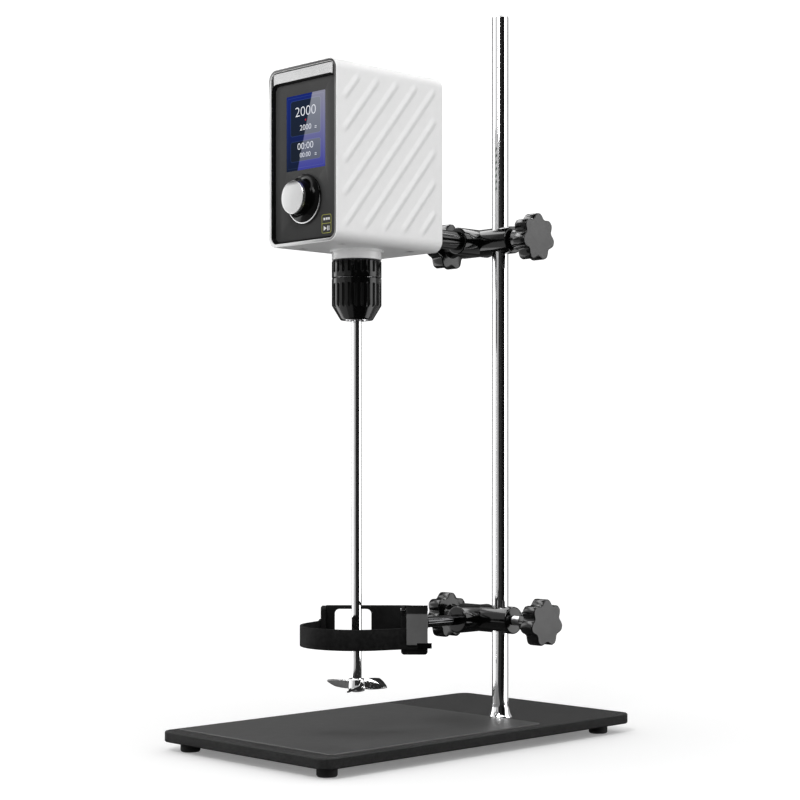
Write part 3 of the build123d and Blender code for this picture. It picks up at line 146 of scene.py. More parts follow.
# %% Room
WHITE = (1, 1, 1, 1)
ROOM_SIDES = 1.25
ROOM_TOP = 0.42
ROOM_SHOWN = 1.15
world = bpy.data.worlds.new("studio")
scene.world = world
world.use_nodes = True
tree = world.node_tree
tree.nodes.clear()
way = add_node(tree, "TexCoord").outputs["Generated"]
upward = add_node(tree, "SeparateXYZ", {0: way}).outputs["Z"]
level = ramp(tree, upward, 0.0, 1.0, ROOM_SIDES, ROOM_TOP)
fill = add_node(tree, "Background", {"Color": WHITE, "Strength": level})
shown = add_node(tree, "Background", {"Color": WHITE, "Strength": ROOM_SHOWN})
pick = add_node(tree, "MixShader", {0: seen_rays(tree), 1: fill.outputs[0], 2: shown.outputs[0]})
add_node(tree, "OutputWorld", {"Surface": pick.outputs[0]})
scene.view_settings.view_transform = "Standard"
print("room light", ROOM_SIDES, "to", ROOM_TOP, "shown", ROOM_SHOWN)

# %% [markdown]
# ## Key lamp
# One soft box above and to the left of the camera models the head's ribs with a gentle shade. A
# point lamp would do the same with hard edges. An area lamp is the usual choice for products,
# because its shadow has a soft rim.

# %% Key lamp
KEY_PLACE = Vector((0.61, -1.31, 1.3))
KEY_TARGET = Vector((0.05, -0.06, 0.4))
KEY_SIZE = 0.5
KEY_POWER = 11
lamp = bpy.data.lights.new("key", "AREA")
lamp.size = KEY_SIZE
lamp.energy = KEY_POWER
key = bpy.data.objects.new("key", lamp)
scene.collection.objects.link(key)
key.location = KEY_PLACE
key.rotation_euler = (KEY_TARGET - KEY_PLACE).to_track_quat("-Z", "Y").to_euler()
print("key lamp", KEY_POWER, "watts")

# %% [markdown]
# ## Reflection cards
# Polished steel has no colour of its own and shows what stands round it. A photographer sets up
# black and white cards for that, and so does this cell. They form a ring of wall strips with a
# ceiling, and only reflections see them, so they cast no light or shadow. The strips give the
# column its wide black band, its light bands and its dark edge. An image of a studio could do
# the same, but cards can be placed by the bearing at which each shows.

# %% Reflection cards
CAMERA_SIDE = -44.4
CARD_FAR = 2.0
CARD_NEAR = 0.3
CARD_TOP = 1.9
CARD_FLOOR = 0.001
CARD_CENTRE = 0.01
HIGHLIGHT_START = 1.15
HIGHLIGHT_END = 1.6
WALL_STEPS = 8
RING_STEPS = 48


def card_sheet(name, points, faces, shade):
    """A glowing sheet that only reflections can see."""
    mesh = bpy.data.meshes.new(name)
    mesh.from_pydata(points, [], faces)
    card = bpy.data.objects.new(name, mesh)
    scene.collection.objects.link(card)
    paper = bpy.data.materials.new(name)
    paper.use_nodes = True
    paper.node_tree.nodes.clear()
    glow = add_node(paper.node_tree, "Emission", {"Color": (shade, shade, shade, 1)})
    add_node(paper.node_tree, "OutputMaterial", {"Surface": glow.outputs[0]})
    mesh.materials.append(paper)
    card.visible_camera = False
    card.visible_diffuse = False
    card.visible_transmission = False
    card.visible_shadow = False


def ring_points(radius, height, start, end, steps):
    """Points on an arc round the stand, by bearing from the camera's side."""
    bearings = [CAMERA_SIDE + start + (end - start) * step / steps for step in range(steps + 1)]
    turns = [math.radians(bearing) for bearing in bearings]
    return [(radius * math.cos(turn), radius * math.sin(turn), height) for turn in turns]


def wall_card(name, start, end, shade):
    """A strip of floor and wall between two bearings."""
    points = ring_points(CARD_NEAR, CARD_FLOOR, start, end, WALL_STEPS)
    points += ring_points(CARD_FAR, CARD_FLOOR, start, end, WALL_STEPS)
    points += ring_points(CARD_FAR, CARD_TOP, start, end, WALL_STEPS)
    row = WALL_STEPS + 1
    starts = [i for i in range(2 * row) if i % row < WALL_STEPS]
    card_sheet(name, points, [(i, i + 1, i + row + 1, i + row) for i in starts], shade)


def round_card(name, inside, outside, height, shade):
    """A level ring round the stand."""
    points = ring_points(inside, height, 0, 360, RING_STEPS)
    points += ring_points(outside, height, 0, 360, RING_STEPS)
    row = RING_STEPS + 1
    card_sheet(name, points, [(i, i + 1, i + row + 1, i + row) for i in range(RING_STEPS)], shade)


WALL_CARDS = (
    ("card_bright_left", -126, -104, 3.2),
    ("card_front", -104, -62, 0.95),
    ("card_grey_left", -60, -26, 0.45),
    ("card_dark", -26, 18, 0.022),
    ("card_black", 18, 62, 0.005),
    ("card_bright_right", 66, 100, 3.0),
    ("card_grey_right", 100, 150, 0.5),
    ("card_far", 150, 234, 0.1),
)
for card in WALL_CARDS:
    wall_card(*card)
round_card("card_ceiling", CARD_CENTRE, HIGHLIGHT_START, CARD_TOP, 0.02)
round_card("card_highlight", HIGHLIGHT_START, HIGHLIGHT_END, CARD_TOP, 6.0)
round_card("card_floor", CARD_CENTRE, CARD_NEAR, CARD_FLOOR, 0.02)
print("cards", len(WALL_CARDS) + 3)

# %% [markdown]
# ## Floor
# The floor is a white paper sheet that keeps the soft shadow of the stand. Paper as bright as
# the room would throw too much light on the plate from below, so the light that it bounces
# comes from a greyer floor than the one that is seen. A glow that grows with the distance keeps
# the far floor as white as the near one.

# %% Floor
FLOOR_HALF = 6
FLOOR_BOUNCE = 0.45
FLOOR_WHITE = 0.88
GLOW_START, GLOW_END = 0.12, 0.7
GLOW_NEAR, GLOW_FAR = 0.19, 0.43
corners = [(x * FLOOR_HALF, y * FLOOR_HALF, 0) for x, y in ((-1, -1), (1, -1), (1, 1), (-1, 1))]
floor_mesh = bpy.data.meshes.new("floor")
floor_mesh.from_pydata(corners, [], [(0, 1, 2, 3)])
floor = bpy.data.objects.new("floor", floor_mesh)
scene.collection.objects.link(floor)
paper = bpy.data.materials.new("floor")
paper.use_nodes = True
tree = paper.node_tree
tree.nodes.clear()
bounce = add_node(tree, "BsdfDiffuse", {"Color": (FLOOR_BOUNCE, FLOOR_BOUNCE, FLOOR_BOUNCE, 1)})
white = add_node(tree, "BsdfDiffuse", {"Color": (FLOOR_WHITE, FLOOR_WHITE, FLOOR_WHITE, 1)})
spot = add_node(tree, "TexCoord").outputs["Object"]
far_off = add_node(tree, "VectorMath", {0: spot}, operation="LENGTH").outputs["Value"]
rise = ramp(tree, far_off, GLOW_START, GLOW_END, GLOW_NEAR, GLOW_FAR)
glow = add_node(tree, "Emission", {"Strength": rise})
whole = add_node(tree, "AddShader", {0: white.outputs[0], 1: glow.outputs[0]})
pick = add_node(tree, "MixShader", {0: seen_rays(tree), 1: bounce.outputs[0], 2: whole.outputs[0]})
add_node(tree, "OutputMaterial", {"Surface": pick.outputs[0]})
floor_mesh.materials.append(paper)
print("floor", 2 * FLOOR_HALF, "metres wide")

# %% [markdown]
# ## How a finish is built
# No real surface is one even colour. Each finish starts from the plain colour and gloss of its
# material and adds noise in object coordinates: a slight change of colour, a change of gloss
# where hands have rubbed, and a fine relief. Painted images would need a flat unwrapping of
# every piece. Noise in space needs none and has no seams. Fade makes a piece darker towards one
# end along one axis: on the lever that is two-tone paint, elsewhere painted shade and painted
# reflection.

# %% Finish helpers
BROAD = 12
NOISE_RANGE = (0.35, 0.65)
SMOOTHEST = 0.02


def finish(name, colour, gloss, metal=0.0, grain=400.0, relief=0.0, relief_depth=0.0001, tint=0.06,
           wear=0.08, specular=0.5):
    """A procedural surface. Grain scales the noise, tint changes the colour and wear the gloss."""
    made = bpy.data.materials.new(name)
    made.use_nodes = True
    tree = made.node_tree
    shader = tree.nodes["Principled BSDF"]
    shader.inputs["Metallic"].default_value = metal
    shader.inputs["Specular IOR Level"].default_value = specular
    spot = add_node(tree, "TexCoord").outputs["Object"]
    noise = {"Vector": spot, "Scale": grain / BROAD, "Detail": 4}
    broad = add_node(tree, "TexNoise", noise).outputs["Fac"]
    dull = tuple(part * (1 - tint) for part in colour[:3]) + (1,)
    fresh = tuple(min(1, part * (1 + tint)) for part in colour[:3]) + (1,)
    shades = mixed(tree, ramp(tree, broad, *NOISE_RANGE), dull, fresh)
    tree.links.new(shades, shader.inputs["Base Color"])
    rub = ramp(tree, broad, 0.0, 1.0, max(SMOOTHEST, gloss - wear / 2), gloss + wear / 2)
    tree.links.new(rub, shader.inputs["Roughness"])
    if relief:
        noise = {"Vector": spot, "Scale": grain, "Detail": 3}
        fine = add_node(tree, "TexNoise", noise).outputs["Fac"]
        bump = add_node(tree, "Bump", {"Height": fine, "Strength": relief, "Distance": relief_depth})
        tree.links.new(bump.outputs["Normal"], shader.inputs["Normal"])
    return made


def fade(paint, axis, start, end, shade):
    """Darkens a finish along one axis of the object, down to a share of its colour at the end."""
    tree = paint.node_tree
    socket = tree.nodes["Principled BSDF"].inputs["Base Color"]
    spot = add_node(tree, "TexCoord").outputs["Object"]
    where = add_node(tree, "SeparateXYZ", {0: spot}).outputs[axis]
    along = ramp(tree, where, start * MM, end * MM)
    before = socket.links[0].from_socket
    tree.links.new(mixed(tree, along, before, (shade, shade, shade, 1), "MULTIPLY"), socket)


print("finish helpers ready")

# %% [markdown]
# ## Finishes of the stand
# The plate has a black powder coat with a coarse grain, and a smoother mat lies on it. Column
# and shaft are polished bar, the collar is chromed, and the screws are turned steel with a
# satin look. All these metals share one recipe and differ in colour, roughness and grain.

# %% Finishes of the stand
powder = finish("powder_coat", grey(25), 0.55, grain=7000, relief=0.9, relief_depth=0.0004, tint=0.6,
                specular=0.3)
mat_skin = finish("mat_skin", grey(66), 0.42, grain=1200, relief=0.12, tint=0.05, specular=0.45)
rubber = finish("rubber", grey(26), 0.7, grain=900, relief=0.3, tint=0.1)
polished = finish("polished_steel", (0.93, 0.93, 0.935, 1), 0.07, metal=1, grain=300, tint=0.02,
                  wear=0.04)
chrome = finish("chrome", (0.86, 0.86, 0.87, 1), 0.05, metal=1, grain=200, tint=0.01, wear=0.02)
satin_steel = finish("satin_steel", (0.6, 0.6, 0.61, 1), 0.3, metal=1, grain=900, relief=0.1)
print("finishes", len(bpy.data.materials))

# %% [markdown]
# ## Finishes of the clamps
# The cross clamps are cast and lacquered in gloss black. The grips are moulded with shiny
# flanks and a dull grey face. The strap clamp mixes a rough black coat, a ribbed rubber and a
# painted lever whose top edge is black.

# %% Finishes of the clamps
black_gloss = finish("black_gloss", grey(6), 0.1, grain=350, relief=0.03, tint=0.2, wear=0.04,
                     specular=0.38)
knob_side = finish("knob_side", grey(7), 0.14, grain=700, relief=0.04, tint=0.15, specular=0.38)
knob_front = finish("knob_front", grey(104), 0.5, grain=1300, relief=0.12, tint=0.05, specular=0.1)
rod_steel = finish("rod_steel", (0.08, 0.08, 0.082, 1), 0.06, metal=1, grain=300, tint=0.02, wear=0.03)
bracket_black = finish("bracket_black", grey(17), 0.5, grain=3000, relief=0.4, tint=0.2, specular=0.1)
strap_skin = finish("strap_skin", grey(21), 0.6, grain=3600, relief=0.7, tint=0.3, specular=0.06)
lever_grey = finish("lever_grey", grey(84), 0.4, grain=1100, relief=0.08, tint=0.05)
fade(lever_grey, "Z", 113.0, 113.8, 0.05)
print("finishes", len(bpy.data.materials))

# %% [markdown]
# ## Finishes of the head
# The case is a white plastic with a faint grain. Its rim carries painted reflection and shade: a
# fade leaves it bright on one side only and darker to the right and at the top. The front is a
# dark glossy panel in a black bezel with a silver strip, and the panel is painted darker towards
# the bottom as a painted reflection. Its knob has a chromed ring, a black skirt and a spun cap.
# Ring and cap get a painted reflection of the dark end of the room on one side, made by a fade,
# where the mesh is too small to show it.

# %% Finishes of the head
shell_white = finish("shell_white", grey(232), 0.42, grain=1400, relief=0.05, tint=0.012, specular=0.25)
collar_white = finish("collar_white", grey(238), 0.28, grain=900, relief=0.03, tint=0.01)
rim_painted_light = finish("rim_painted_light", grey(236), 0.35, grain=900, relief=0.03, tint=0.02, specular=0.3)
# Painted reflection and shade: the rim is darker towards the right and towards the top.
fade(rim_painted_light, "X", -25, 50, 0.22)
fade(rim_painted_light, "Z", 520, 541, 0.15)
silver = finish("silver", (0.6, 0.6, 0.602, 1), 0.26, metal=1, grain=900, relief=0.04, tint=0.03)
bezel_black = finish("bezel_black", grey(10), 0.14, grain=600, relief=0.02, tint=0.1, specular=0.4)
panel_black = finish("panel_black", grey(68), 0.3, grain=600, relief=0.02, tint=0.04, specular=0.05)
# Painted reflection: the panel is darker towards the bottom.
fade(panel_black, "Z", 480, 415, 0.68)
skirt_black = finish("skirt_black", grey(6), 0.12, grain=600, relief=0.02, tint=0.1, specular=0.08)
ring_chrome = finish("ring_chrome", (0.8, 0.8, 0.81, 1), 0.08, metal=1, grain=300, tint=0.02, wear=0.02)
# Painted reflection: the ring turns near black above its middle, where it would mirror the dark room.
fade(ring_chrome, "Z", 432, 441, 0.01)
cap_silver = finish("cap_silver", (0.6, 0.6, 0.602, 1), 0.26, metal=1, grain=900, relief=0.04, tint=0.03)
# Painted reflection: the cap darkens at its top edge, where it would mirror the dark room.
fade(cap_silver, "Z", 447.5, 450.5, 0.12)
line_green = finish("line_green", screen_colour(150, 150, 44), 0.4, grain=700, tint=0.05)
mark_white = finish("mark_white", grey(215), 0.4, grain=700, tint=0.02)
print("finishes", len(bpy.data.materials))

# %% [markdown]
# ## Finishes of the chuck and the inner parts
# The chuck is a hard black plastic with dull flutes. Inside the head are a cast chassis, iron
# cores, green boards and brass pads. Few of these are ever seen, but each keeps its own finish
# for the views that open the model.

# %% Finishes of the chuck and the inner parts
chuck_black = finish("chuck_black", grey(5), 0.13, grain=600, relief=0.03, tint=0.2, wear=0.04,
                     specular=0.38)
flute_black = finish("flute_black", grey(7), 0.6, grain=600, relief=0.05, tint=0.1, specular=0.1)
cast = finish("cast_aluminium", (0.5, 0.5, 0.51, 1), 0.42, metal=1, grain=500, relief=0.25, tint=0.08)
board_green = finish("board_green", (0.02, 0.16, 0.06, 1), 0.4, grain=600, relief=0.2, tint=0.2)
motor_iron = finish("motor_iron", (0.16, 0.16, 0.17, 1), 0.5, metal=0.8, grain=700, relief=0.2, tint=0.1)
brass = finish("brass", (0.62, 0.44, 0.18, 1), 0.28, metal=1, grain=700, relief=0.08)
dark_plastic = finish("dark_plastic", grey(30), 0.5, grain=900, relief=0.15, tint=0.1)
print("finishes", len(bpy.data.materials))

# %% [markdown]
# ## Turned parts
# Columns, collars, feet, rods and screws are all round, and on the real stirrer most of them
# come off a lathe. The cell does what a lathe does: it draws half of the section and spins it
# about the axis. A cylinder with bevelled rims would do for a plain bar, but one section can
# hold every step, groove and rounding of a part.

# %% Tools for turned parts
WELD = 1e-7
FACING = {
    "+Z": Matrix.Identity(3),
    "-Z": Matrix(((1, 0, 0), (0, -1, 0), (0, 0, -1))),
    "+X": Matrix(((0, 0, 1), (1, 0, 0), (0, 1, 0))),
    "-X": Matrix(((0, 0, -1), (-1, 0, 0), (0, 1, 0))),
    "+Y": Matrix(((-1, 0, 0), (0, 0, 1), (0, 1, 0))),
    "-Y": Matrix(((1, 0, 0), (0, 0, -1), (0, 1, 0))),
}


def put(verts, centre, facing):
    """Brings local points, whose Z is the part's own axis, to a centre and a facing."""
    turn = FACING[facing] if isinstance(facing, str) else facing
    for vert in verts:
        vert.co = (Vector(centre) + turn @ vert.co) * MM


def rounded_corners(points, radius, steps=4, closed=False):
    """The same line with its corners made arcs. A third number on a point is its own radius."""
    out = []
    count = len(points)
    for index, point in enumerate(points):
        here = Vector(point[:2])
        if not closed and index in (0, count - 1):
            out.append(tuple(here))
            continue
        before = Vector(points[index - 1][:2]) - here
        after = Vector(points[(index + 1) % count][:2]) - here
        wanted = point[2] if len(point) > 2 else radius
        bend = math.pi - before.angle(after)
        if wanted <= 0 or bend < 0.02:
            out.append(tuple(here))
            continue
        cut = min(wanted * math.tan(bend / 2), before.length * 0.49, after.length * 0.49)
        fitted = cut / math.tan(bend / 2)
        start = here + before.normalized() * cut
        inward = (before.normalized() + after.normalized()).normalized()
        middle = here + inward * (fitted / math.cos(bend / 2))
        first = start - middle
        turn = first.angle_signed(here + after.normalized() * cut - middle) * -1
        for step in range(steps + 1):
            out.append(tuple(middle + Matrix.Rotation(turn * step / steps, 2) @ first))
    return out


def turned(bm, section, centre, facing="+Z", steps=96, closed=False):
    """Spins a half section of (radius, height) points round its axis."""
    verts = [bm.verts.new((max(radius, 0.0), 0, height)) for radius, height in section]
    pairs = list(zip(verts, verts[1:]))
    if closed:
        pairs.append((verts[-1], verts[0]))
    edges = [bm.edges.new(pair) for pair in pairs]
    before = set(bm.verts) - set(verts)
    bmesh.ops.spin(bm, geom=verts + edges, cent=(0, 0, 0), axis=(0, 0, 1), angle=math.tau,
                   steps=steps, use_merge=True)
    bmesh.ops.remove_doubles(bm, verts=[v for v in bm.verts if v not in before], dist=1e-4)
    put([v for v in bm.verts if v not in before], centre, facing)


def bar(radius, low, high, centre, facing="+Z", steps=96, rounding=0.0):
    """A round bar in a mesh of its own, its rims rounded where asked."""
    bm = bmesh.new()
    section = [(0, low), (radius, low), (radius, high), (0, high)]
    if rounding:
        section = rounded_corners(section, rounding)
    turned(bm, section, centre, facing, steps)
    return bm


print("a rounded corner has", len(rounded_corners([(0, 0), (5, 0), (5, 5)], 1)) - 2, "points")

# %% [markdown]
# ## From mesh to piece
# Smooth shading stops at edges sharper than an angle, so that one mesh can hold faces and
# roundings.


# %% Tools for pieces
def closed_mesh(name, bm):
    """The mesh of a bmesh, its seams welded and its faces turned outwards."""
    bmesh.ops.remove_doubles(bm, verts=bm.verts, dist=WELD)
    bmesh.ops.recalc_face_normals(bm, faces=bm.faces)
    mesh = bpy.data.meshes.new(name)
    bm.to_mesh(mesh)
    bm.free()
    return mesh


def mesh_piece(name, mesh, body, paints, nodes=(), sharp=35.0):
    """Paints a mesh and lets it ride on a body."""
    piece = bpy.data.objects.new(name, mesh)
    scene.collection.objects.link(piece)
    for paint in paints if isinstance(paints, list) else [paints]:
        mesh.materials.append(paint)
    mesh.shade_smooth()
    mesh.set_sharp_from_angle(angle=math.radians(sharp))
    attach(piece, body)
    if nodes:
        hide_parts(*nodes)
    print(name, len(mesh.polygons), "faces on", body)
    return piece


def to_piece(name, bm, body, paints, nodes=(), sharp=35.0):
    """Closes a bmesh and makes a piece of it."""
    return mesh_piece(name, closed_mesh(name, bm), body, paints, nodes, sharp)


# %% [markdown]
# ## Column and collar
# The column is a length of polished bar with a rounded top, screwed to the plate from below. A
# chromed collar hides the joint and flares out to the plate. Its hollow curve follows a power
# of the height, which needs fewer choices than an arc and comes out flat at the plate and
# upright at the bar.

# %% Column and collar
PLATE_TOP = 16.5
COLUMN = (36.0, 79.0)
COLUMN_R = 7.0
COLUMN_TOP = 610.5
COLLAR_R = 10.2
COLLAR_LIP = 0.4
COLLAR_HIGH = 11.5
COLLAR_RISE = 11.1
COLLAR_GAP = 0.05
COLLAR_WALL = 0.4
COLLAR_FLARE = 2.8
COLLAR_POWER = 2.8
COLLAR_STEPS = 12
bm = bmesh.new()
section = [(0, PLATE_TOP), (COLUMN_R, PLATE_TOP, 0), (COLUMN_R, COLUMN_TOP), (0, COLUMN_TOP)]
turned(bm, rounded_corners(section, 1.2), (*COLUMN, 0))
to_piece("column_bar", bm, "stand", polished, ["column"])

bm = bmesh.new()
flare = [(COLUMN_R + COLLAR_GAP, PLATE_TOP), (COLLAR_R, PLATE_TOP)]
flare.append((COLLAR_R, PLATE_TOP + COLLAR_LIP))
for t in range(1, COLLAR_STEPS + 1):
    out = COLUMN_R + COLLAR_WALL + COLLAR_FLARE * (1 - t / COLLAR_STEPS) ** COLLAR_POWER
    flare.append((out, PLATE_TOP + COLLAR_LIP + COLLAR_RISE * t / COLLAR_STEPS))
flare.append((COLUMN_R + COLLAR_GAP, PLATE_TOP + COLLAR_HIGH))
turned(bm, flare, (*COLUMN, 0), closed=True)
to_piece("column_flare", bm, "stand", chrome, ["column_collar"])

# %% [markdown]
# ## Feet
# Four rubber feet lift the plate. Each is a small turned disc with a groove under its flange
# and a counterbore for its screw, and the same section is spun at four places.

# %% Feet
FOOT_SECTION = [(2.0, 4.0), (4.2, 4.0), (4.2, 0), (7.2, 0), (8.0, 1.2), (8.0, 6.2), (7.6, 6.6),
                (8.0, 7.0), (8.0, 8.0), (2.0, 8.0)]
bm = bmesh.new()
for x in (-82, 82):
    for y in (-160, 153):
        turned(bm, rounded_corners(FOOT_SECTION, 0.3, closed=True), (x, y, 0), steps=48, closed=True)
to_piece("feet", bm, "stand", rubber, ["rubber_feet"])

# %% [markdown]
# ## Carving
# A casting with bores is most easily made as it would be from bar stock: solids are joined and
# then drilled. The Boolean modifier does both. Its exact solver is slower than the fast one and
# copes with faces that touch. The result is taken as a plain mesh, and the tools are thrown
# away.


# %% Tool for carving
def carved(name, base, *steps):
    """The mesh left after joining ("UNION") or cutting ("DIFFERENCE") further meshes."""
    blocks = []
    for kind, bm in (("BASE", base), *steps):
        label = f"{name}_{len(blocks)}"
        block = bpy.data.objects.new(label, closed_mesh(label, bm))
        scene.collection.objects.link(block)
        blocks.append(block)
        if kind != "BASE":
            cut = blocks[0].modifiers.new(kind, "BOOLEAN")
            cut.operation = kind
            cut.solver = "EXACT"
            cut.object = block
    bpy.context.view_layer.update()
    graph = bpy.context.evaluated_depsgraph_get()
    result = bpy.data.meshes.new_from_object(blocks[0].evaluated_get(graph))
    result.name = name
    for block in blocks:
        bpy.data.objects.remove(block)
    return result


print("carving ready")

# %% [markdown]
# ## Cross clamps
# A cross clamp joins two bars at right angles. It is two barrels that cross, one bored for the
# column and one for the rod, with a tapped hole for each star screw. The barrels are joined
# first, so that the bores cut both.

# %% Cross clamps
ROD_X = 12.0
BARREL_R = 11.5
BARREL_LEFT, BARREL_RIGHT = -8.0, 52.0
ROD_BARREL_R = 11.4
ROD_BARREL_FRONT, ROD_BARREL_BACK = 50.0, 90.0
BARREL_ROUNDING = 1.3
BORE_GAP = 0.08
BORE_HALF = 20
TAPPED_R = 4.1


def clamp_mesh(name, z, rod_radius):
    """Two crossed barrels with their bores."""
    across = (0, COLUMN[1], z)
    along = (ROD_X, 0, z)
    wide = bar(BARREL_R, BARREL_LEFT, BARREL_RIGHT, across, "+X", rounding=BARREL_ROUNDING)
    deep = bar(ROD_BARREL_R, ROD_BARREL_FRONT, ROD_BARREL_BACK, along, "+Y", rounding=BARREL_ROUNDING)
    column_bore = bar(COLUMN_R + BORE_GAP, z - BORE_HALF, z + BORE_HALF, (*COLUMN, 0))
    rod_bore = bar(rod_radius + BORE_GAP, 40, 100, along, "+Y")
    left_thread = bar(TAPPED_R, -20, 6, across, "+X", 48)
    right_thread = bar(TAPPED_R, 42, 60, across, "+X", 48)
    cuts = [("DIFFERENCE", tool) for tool in (column_bore, rod_bore, left_thread, right_thread)]
    return carved(name, wide, ("UNION", deep), *cuts)


print("clamp barrel", BARREL_RIGHT - BARREL_LEFT, "mm long")

# %% [markdown]
# ## Flat parts
# Grips, plates, frames and signs are flat parts with an outline. The outline is filled,
# extruded to its thickness and bevelled at its rims, as a punched or moulded part is. Holes are
# outlines inside the first one.


# %% Tools for flat parts
def cut_out(bm, outline, low, high, centre, facing="+Z", edge=0.0, steps=3, holes=()):
    """A flat part with rounded rims: an outline given a thickness. Holes are further outlines."""
    before = set(bm.verts)
    edges = []
    for line in (outline, *holes):
        ring = [bm.verts.new((x, y, low)) for x, y in line]
        edges += [bm.edges.new((ring[i], ring[(i + 1) % len(ring)])) for i in range(len(ring))]
    flat = bmesh.ops.triangle_fill(bm, use_beauty=True, edges=edges)
    faces = [part for part in flat["geom"] if isinstance(part, bmesh.types.BMFace)]
    grown = bmesh.ops.extrude_face_region(bm, geom=faces)
    top = [part for part in grown["geom"] if isinstance(part, bmesh.types.BMVert)]
    bmesh.ops.translate(bm, verts=top, vec=(0, 0, high - low))
    if edge:
        made = [v for v in bm.verts if v not in before]
        rims = {e for v in made for e in v.link_edges
                if len(e.link_faces) == 2 and e.calc_face_angle(0) > 0.9
                and abs(e.verts[0].co.z - e.verts[1].co.z) < 1e-6}
        bmesh.ops.bevel(bm, geom=list(rims), offset=edge, offset_type="OFFSET", affect="EDGES",
                        segments=steps, profile=0.5, material=-1)
    put([v for v in bm.verts if v not in before], centre, facing)


def round_line(radius, count, centre=(0, 0)):
    """Outline of a circle."""
    x, y = centre[:2]
    turns = [math.tau * i / count for i in range(count)]
    return [(x + radius * math.cos(turn), y + radius * math.sin(turn)) for turn in turns]


print("a round hole has", len(round_line(1, 32)), "points")

# %% [markdown]
# ## Star grips and studs
# A star grip is moulded with seven lobes, so that fingers can turn it hard. Its outline is
# worked out as a circle with round valleys pressed in, and a running mean eases the corners
# between them. That keeps every lobe alike, which a hand-drawn outline wouldn't. The stud is
# turned with its thread as rings: at this size nobody can tell rings from a helix, and rings
# can be spun in one go.

# %% Star grips and studs
LOBES = 7
GRIP_R = 19.75
VALLEY_R = 5.0
VALLEY_AT = 21.0
GRIP_EASE = 9
GRIP_POINTS = 420
GRIP_LOW, GRIP_TOP = 12.0, 25.0
HUB_SECTION = [(4.0, 0.0), (9.0, 0.0, 0.7), (9.0, 10.0, 0), (10.4, 12.3, 0), (4.0, 12.3)]
THREAD_PITCH = 1.25
THREAD_R = 3.98
THREAD_ROOT = 3.4
STUD_SUNK = 9.0


def star_outline():
    """Outline of a star grip: round lobes between round valleys, the corners eased."""
    raw = []
    for i in range(GRIP_POINTS):
        turn = math.tau * i / GRIP_POINTS
        near = (turn + math.pi / LOBES) % (math.tau / LOBES) - math.pi / LOBES
        inside = VALLEY_R ** 2 - (VALLEY_AT * math.sin(near)) ** 2
        valley = VALLEY_AT * math.cos(near) - math.sqrt(inside) if inside > 0 else GRIP_R
        raw.append(min(GRIP_R, valley))
    nearby = range(-GRIP_EASE, GRIP_EASE + 1)
    points = []
    for i in range(GRIP_POINTS):
        turn = math.tau * i / GRIP_POINTS
        radius = sum(raw[(i + k) % GRIP_POINTS] for k in nearby) / len(nearby)
        points.append((radius * math.sin(turn), -radius * math.cos(turn)))
    return points


def star_grip(name, centre, facing, body, nodes):
    """Star grip with a lobed head, a hub and a duller face."""
    bm = bmesh.new()
    cut_out(bm, star_outline(), GRIP_LOW, GRIP_TOP, centre, facing, edge=1.1)
    turned(bm, rounded_corners(HUB_SECTION, 0.6, closed=True), centre, facing, 64, closed=True)
    face_x = (centre[0] + (GRIP_TOP if facing == "+X" else -GRIP_TOP)) * MM
    for face in bm.faces:
        if all(abs(v.co.x - face_x) < 1e-5 for v in face.verts):
            face.material_index = 1
    to_piece(name, bm, body, [knob_side, knob_front], nodes, 32)


def stud(name, tip, length, facing, body, nodes):
    """Threaded stud between the pad and the grip."""
    section = [(0, 0), (2.9, 0), (3.5, 0.6)]
    height = 0.6
    while height < length - 1:
        section.append((THREAD_R, height + THREAD_PITCH * 0.3))
        section.append((THREAD_R, height + THREAD_PITCH * 0.42))
        section.append((THREAD_ROOT, height + THREAD_PITCH * 0.9))
        height += THREAD_PITCH
    section += [(3.9, length), (0, length)]
    bm = bmesh.new()
    turned(bm, section, tip, facing, 40)
    to_piece(name, bm, body, satin_steel, nodes)


print("grip", 2 * GRIP_R, "mm across")

# %% [markdown]
# Both clamps are alike but for the rod's size, so one loop makes them. Where a grip and its
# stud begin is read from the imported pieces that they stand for, and the grips on the left are
# the ones on the right turned round.

# %% Clamps with their grips
HEAD_ROD_Z = 420.0
HEAD_ROD_R = 8.0
VESSEL_ROD_Z = 99.0
VESSEL_ROD_R = 4.5


def inner_end(node, facing):
    """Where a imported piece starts, on the side that faces the clamp."""
    low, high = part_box(node)
    return (low[0] if facing == "+X" else high[0]) / MM


CLAMPS = (("head", HEAD_ROD_Z, HEAD_ROD_R), ("vessel", VESSEL_ROD_Z, VESSEL_ROD_R))
for side, z, rod_radius in CLAMPS:
    mesh_piece(f"{side}_cross", clamp_mesh(f"{side}_cross", z, rod_radius), f"{side}_carriage",
               black_gloss, [f"{side}_clamp"], 30)
    for grip, facing in (("column", "+X"), ("rod", "-X")):
        knob = f"{side}_{grip}_knob"
        screw = f"{side}_{grip}_screw"
        start = inner_end(knob, facing)
        tip = inner_end(screw, facing)
        star_grip(f"{side}_{grip}_grip", (start, COLUMN[1], z), facing, knob, [knob])
        length = abs(start - tip) + STUD_SUNK
        stud(f"{side}_{grip}_stud", (tip, COLUMN[1], z), length, facing, knob, [screw])

# %% [markdown]
# ## Rods
# The upper rod is lacquered black and carries the head. It has a shoulder and a thinner
# threaded end inside the case. The lower rod is dark polished steel and carries the strap
# clamp. Both are turned like the column.

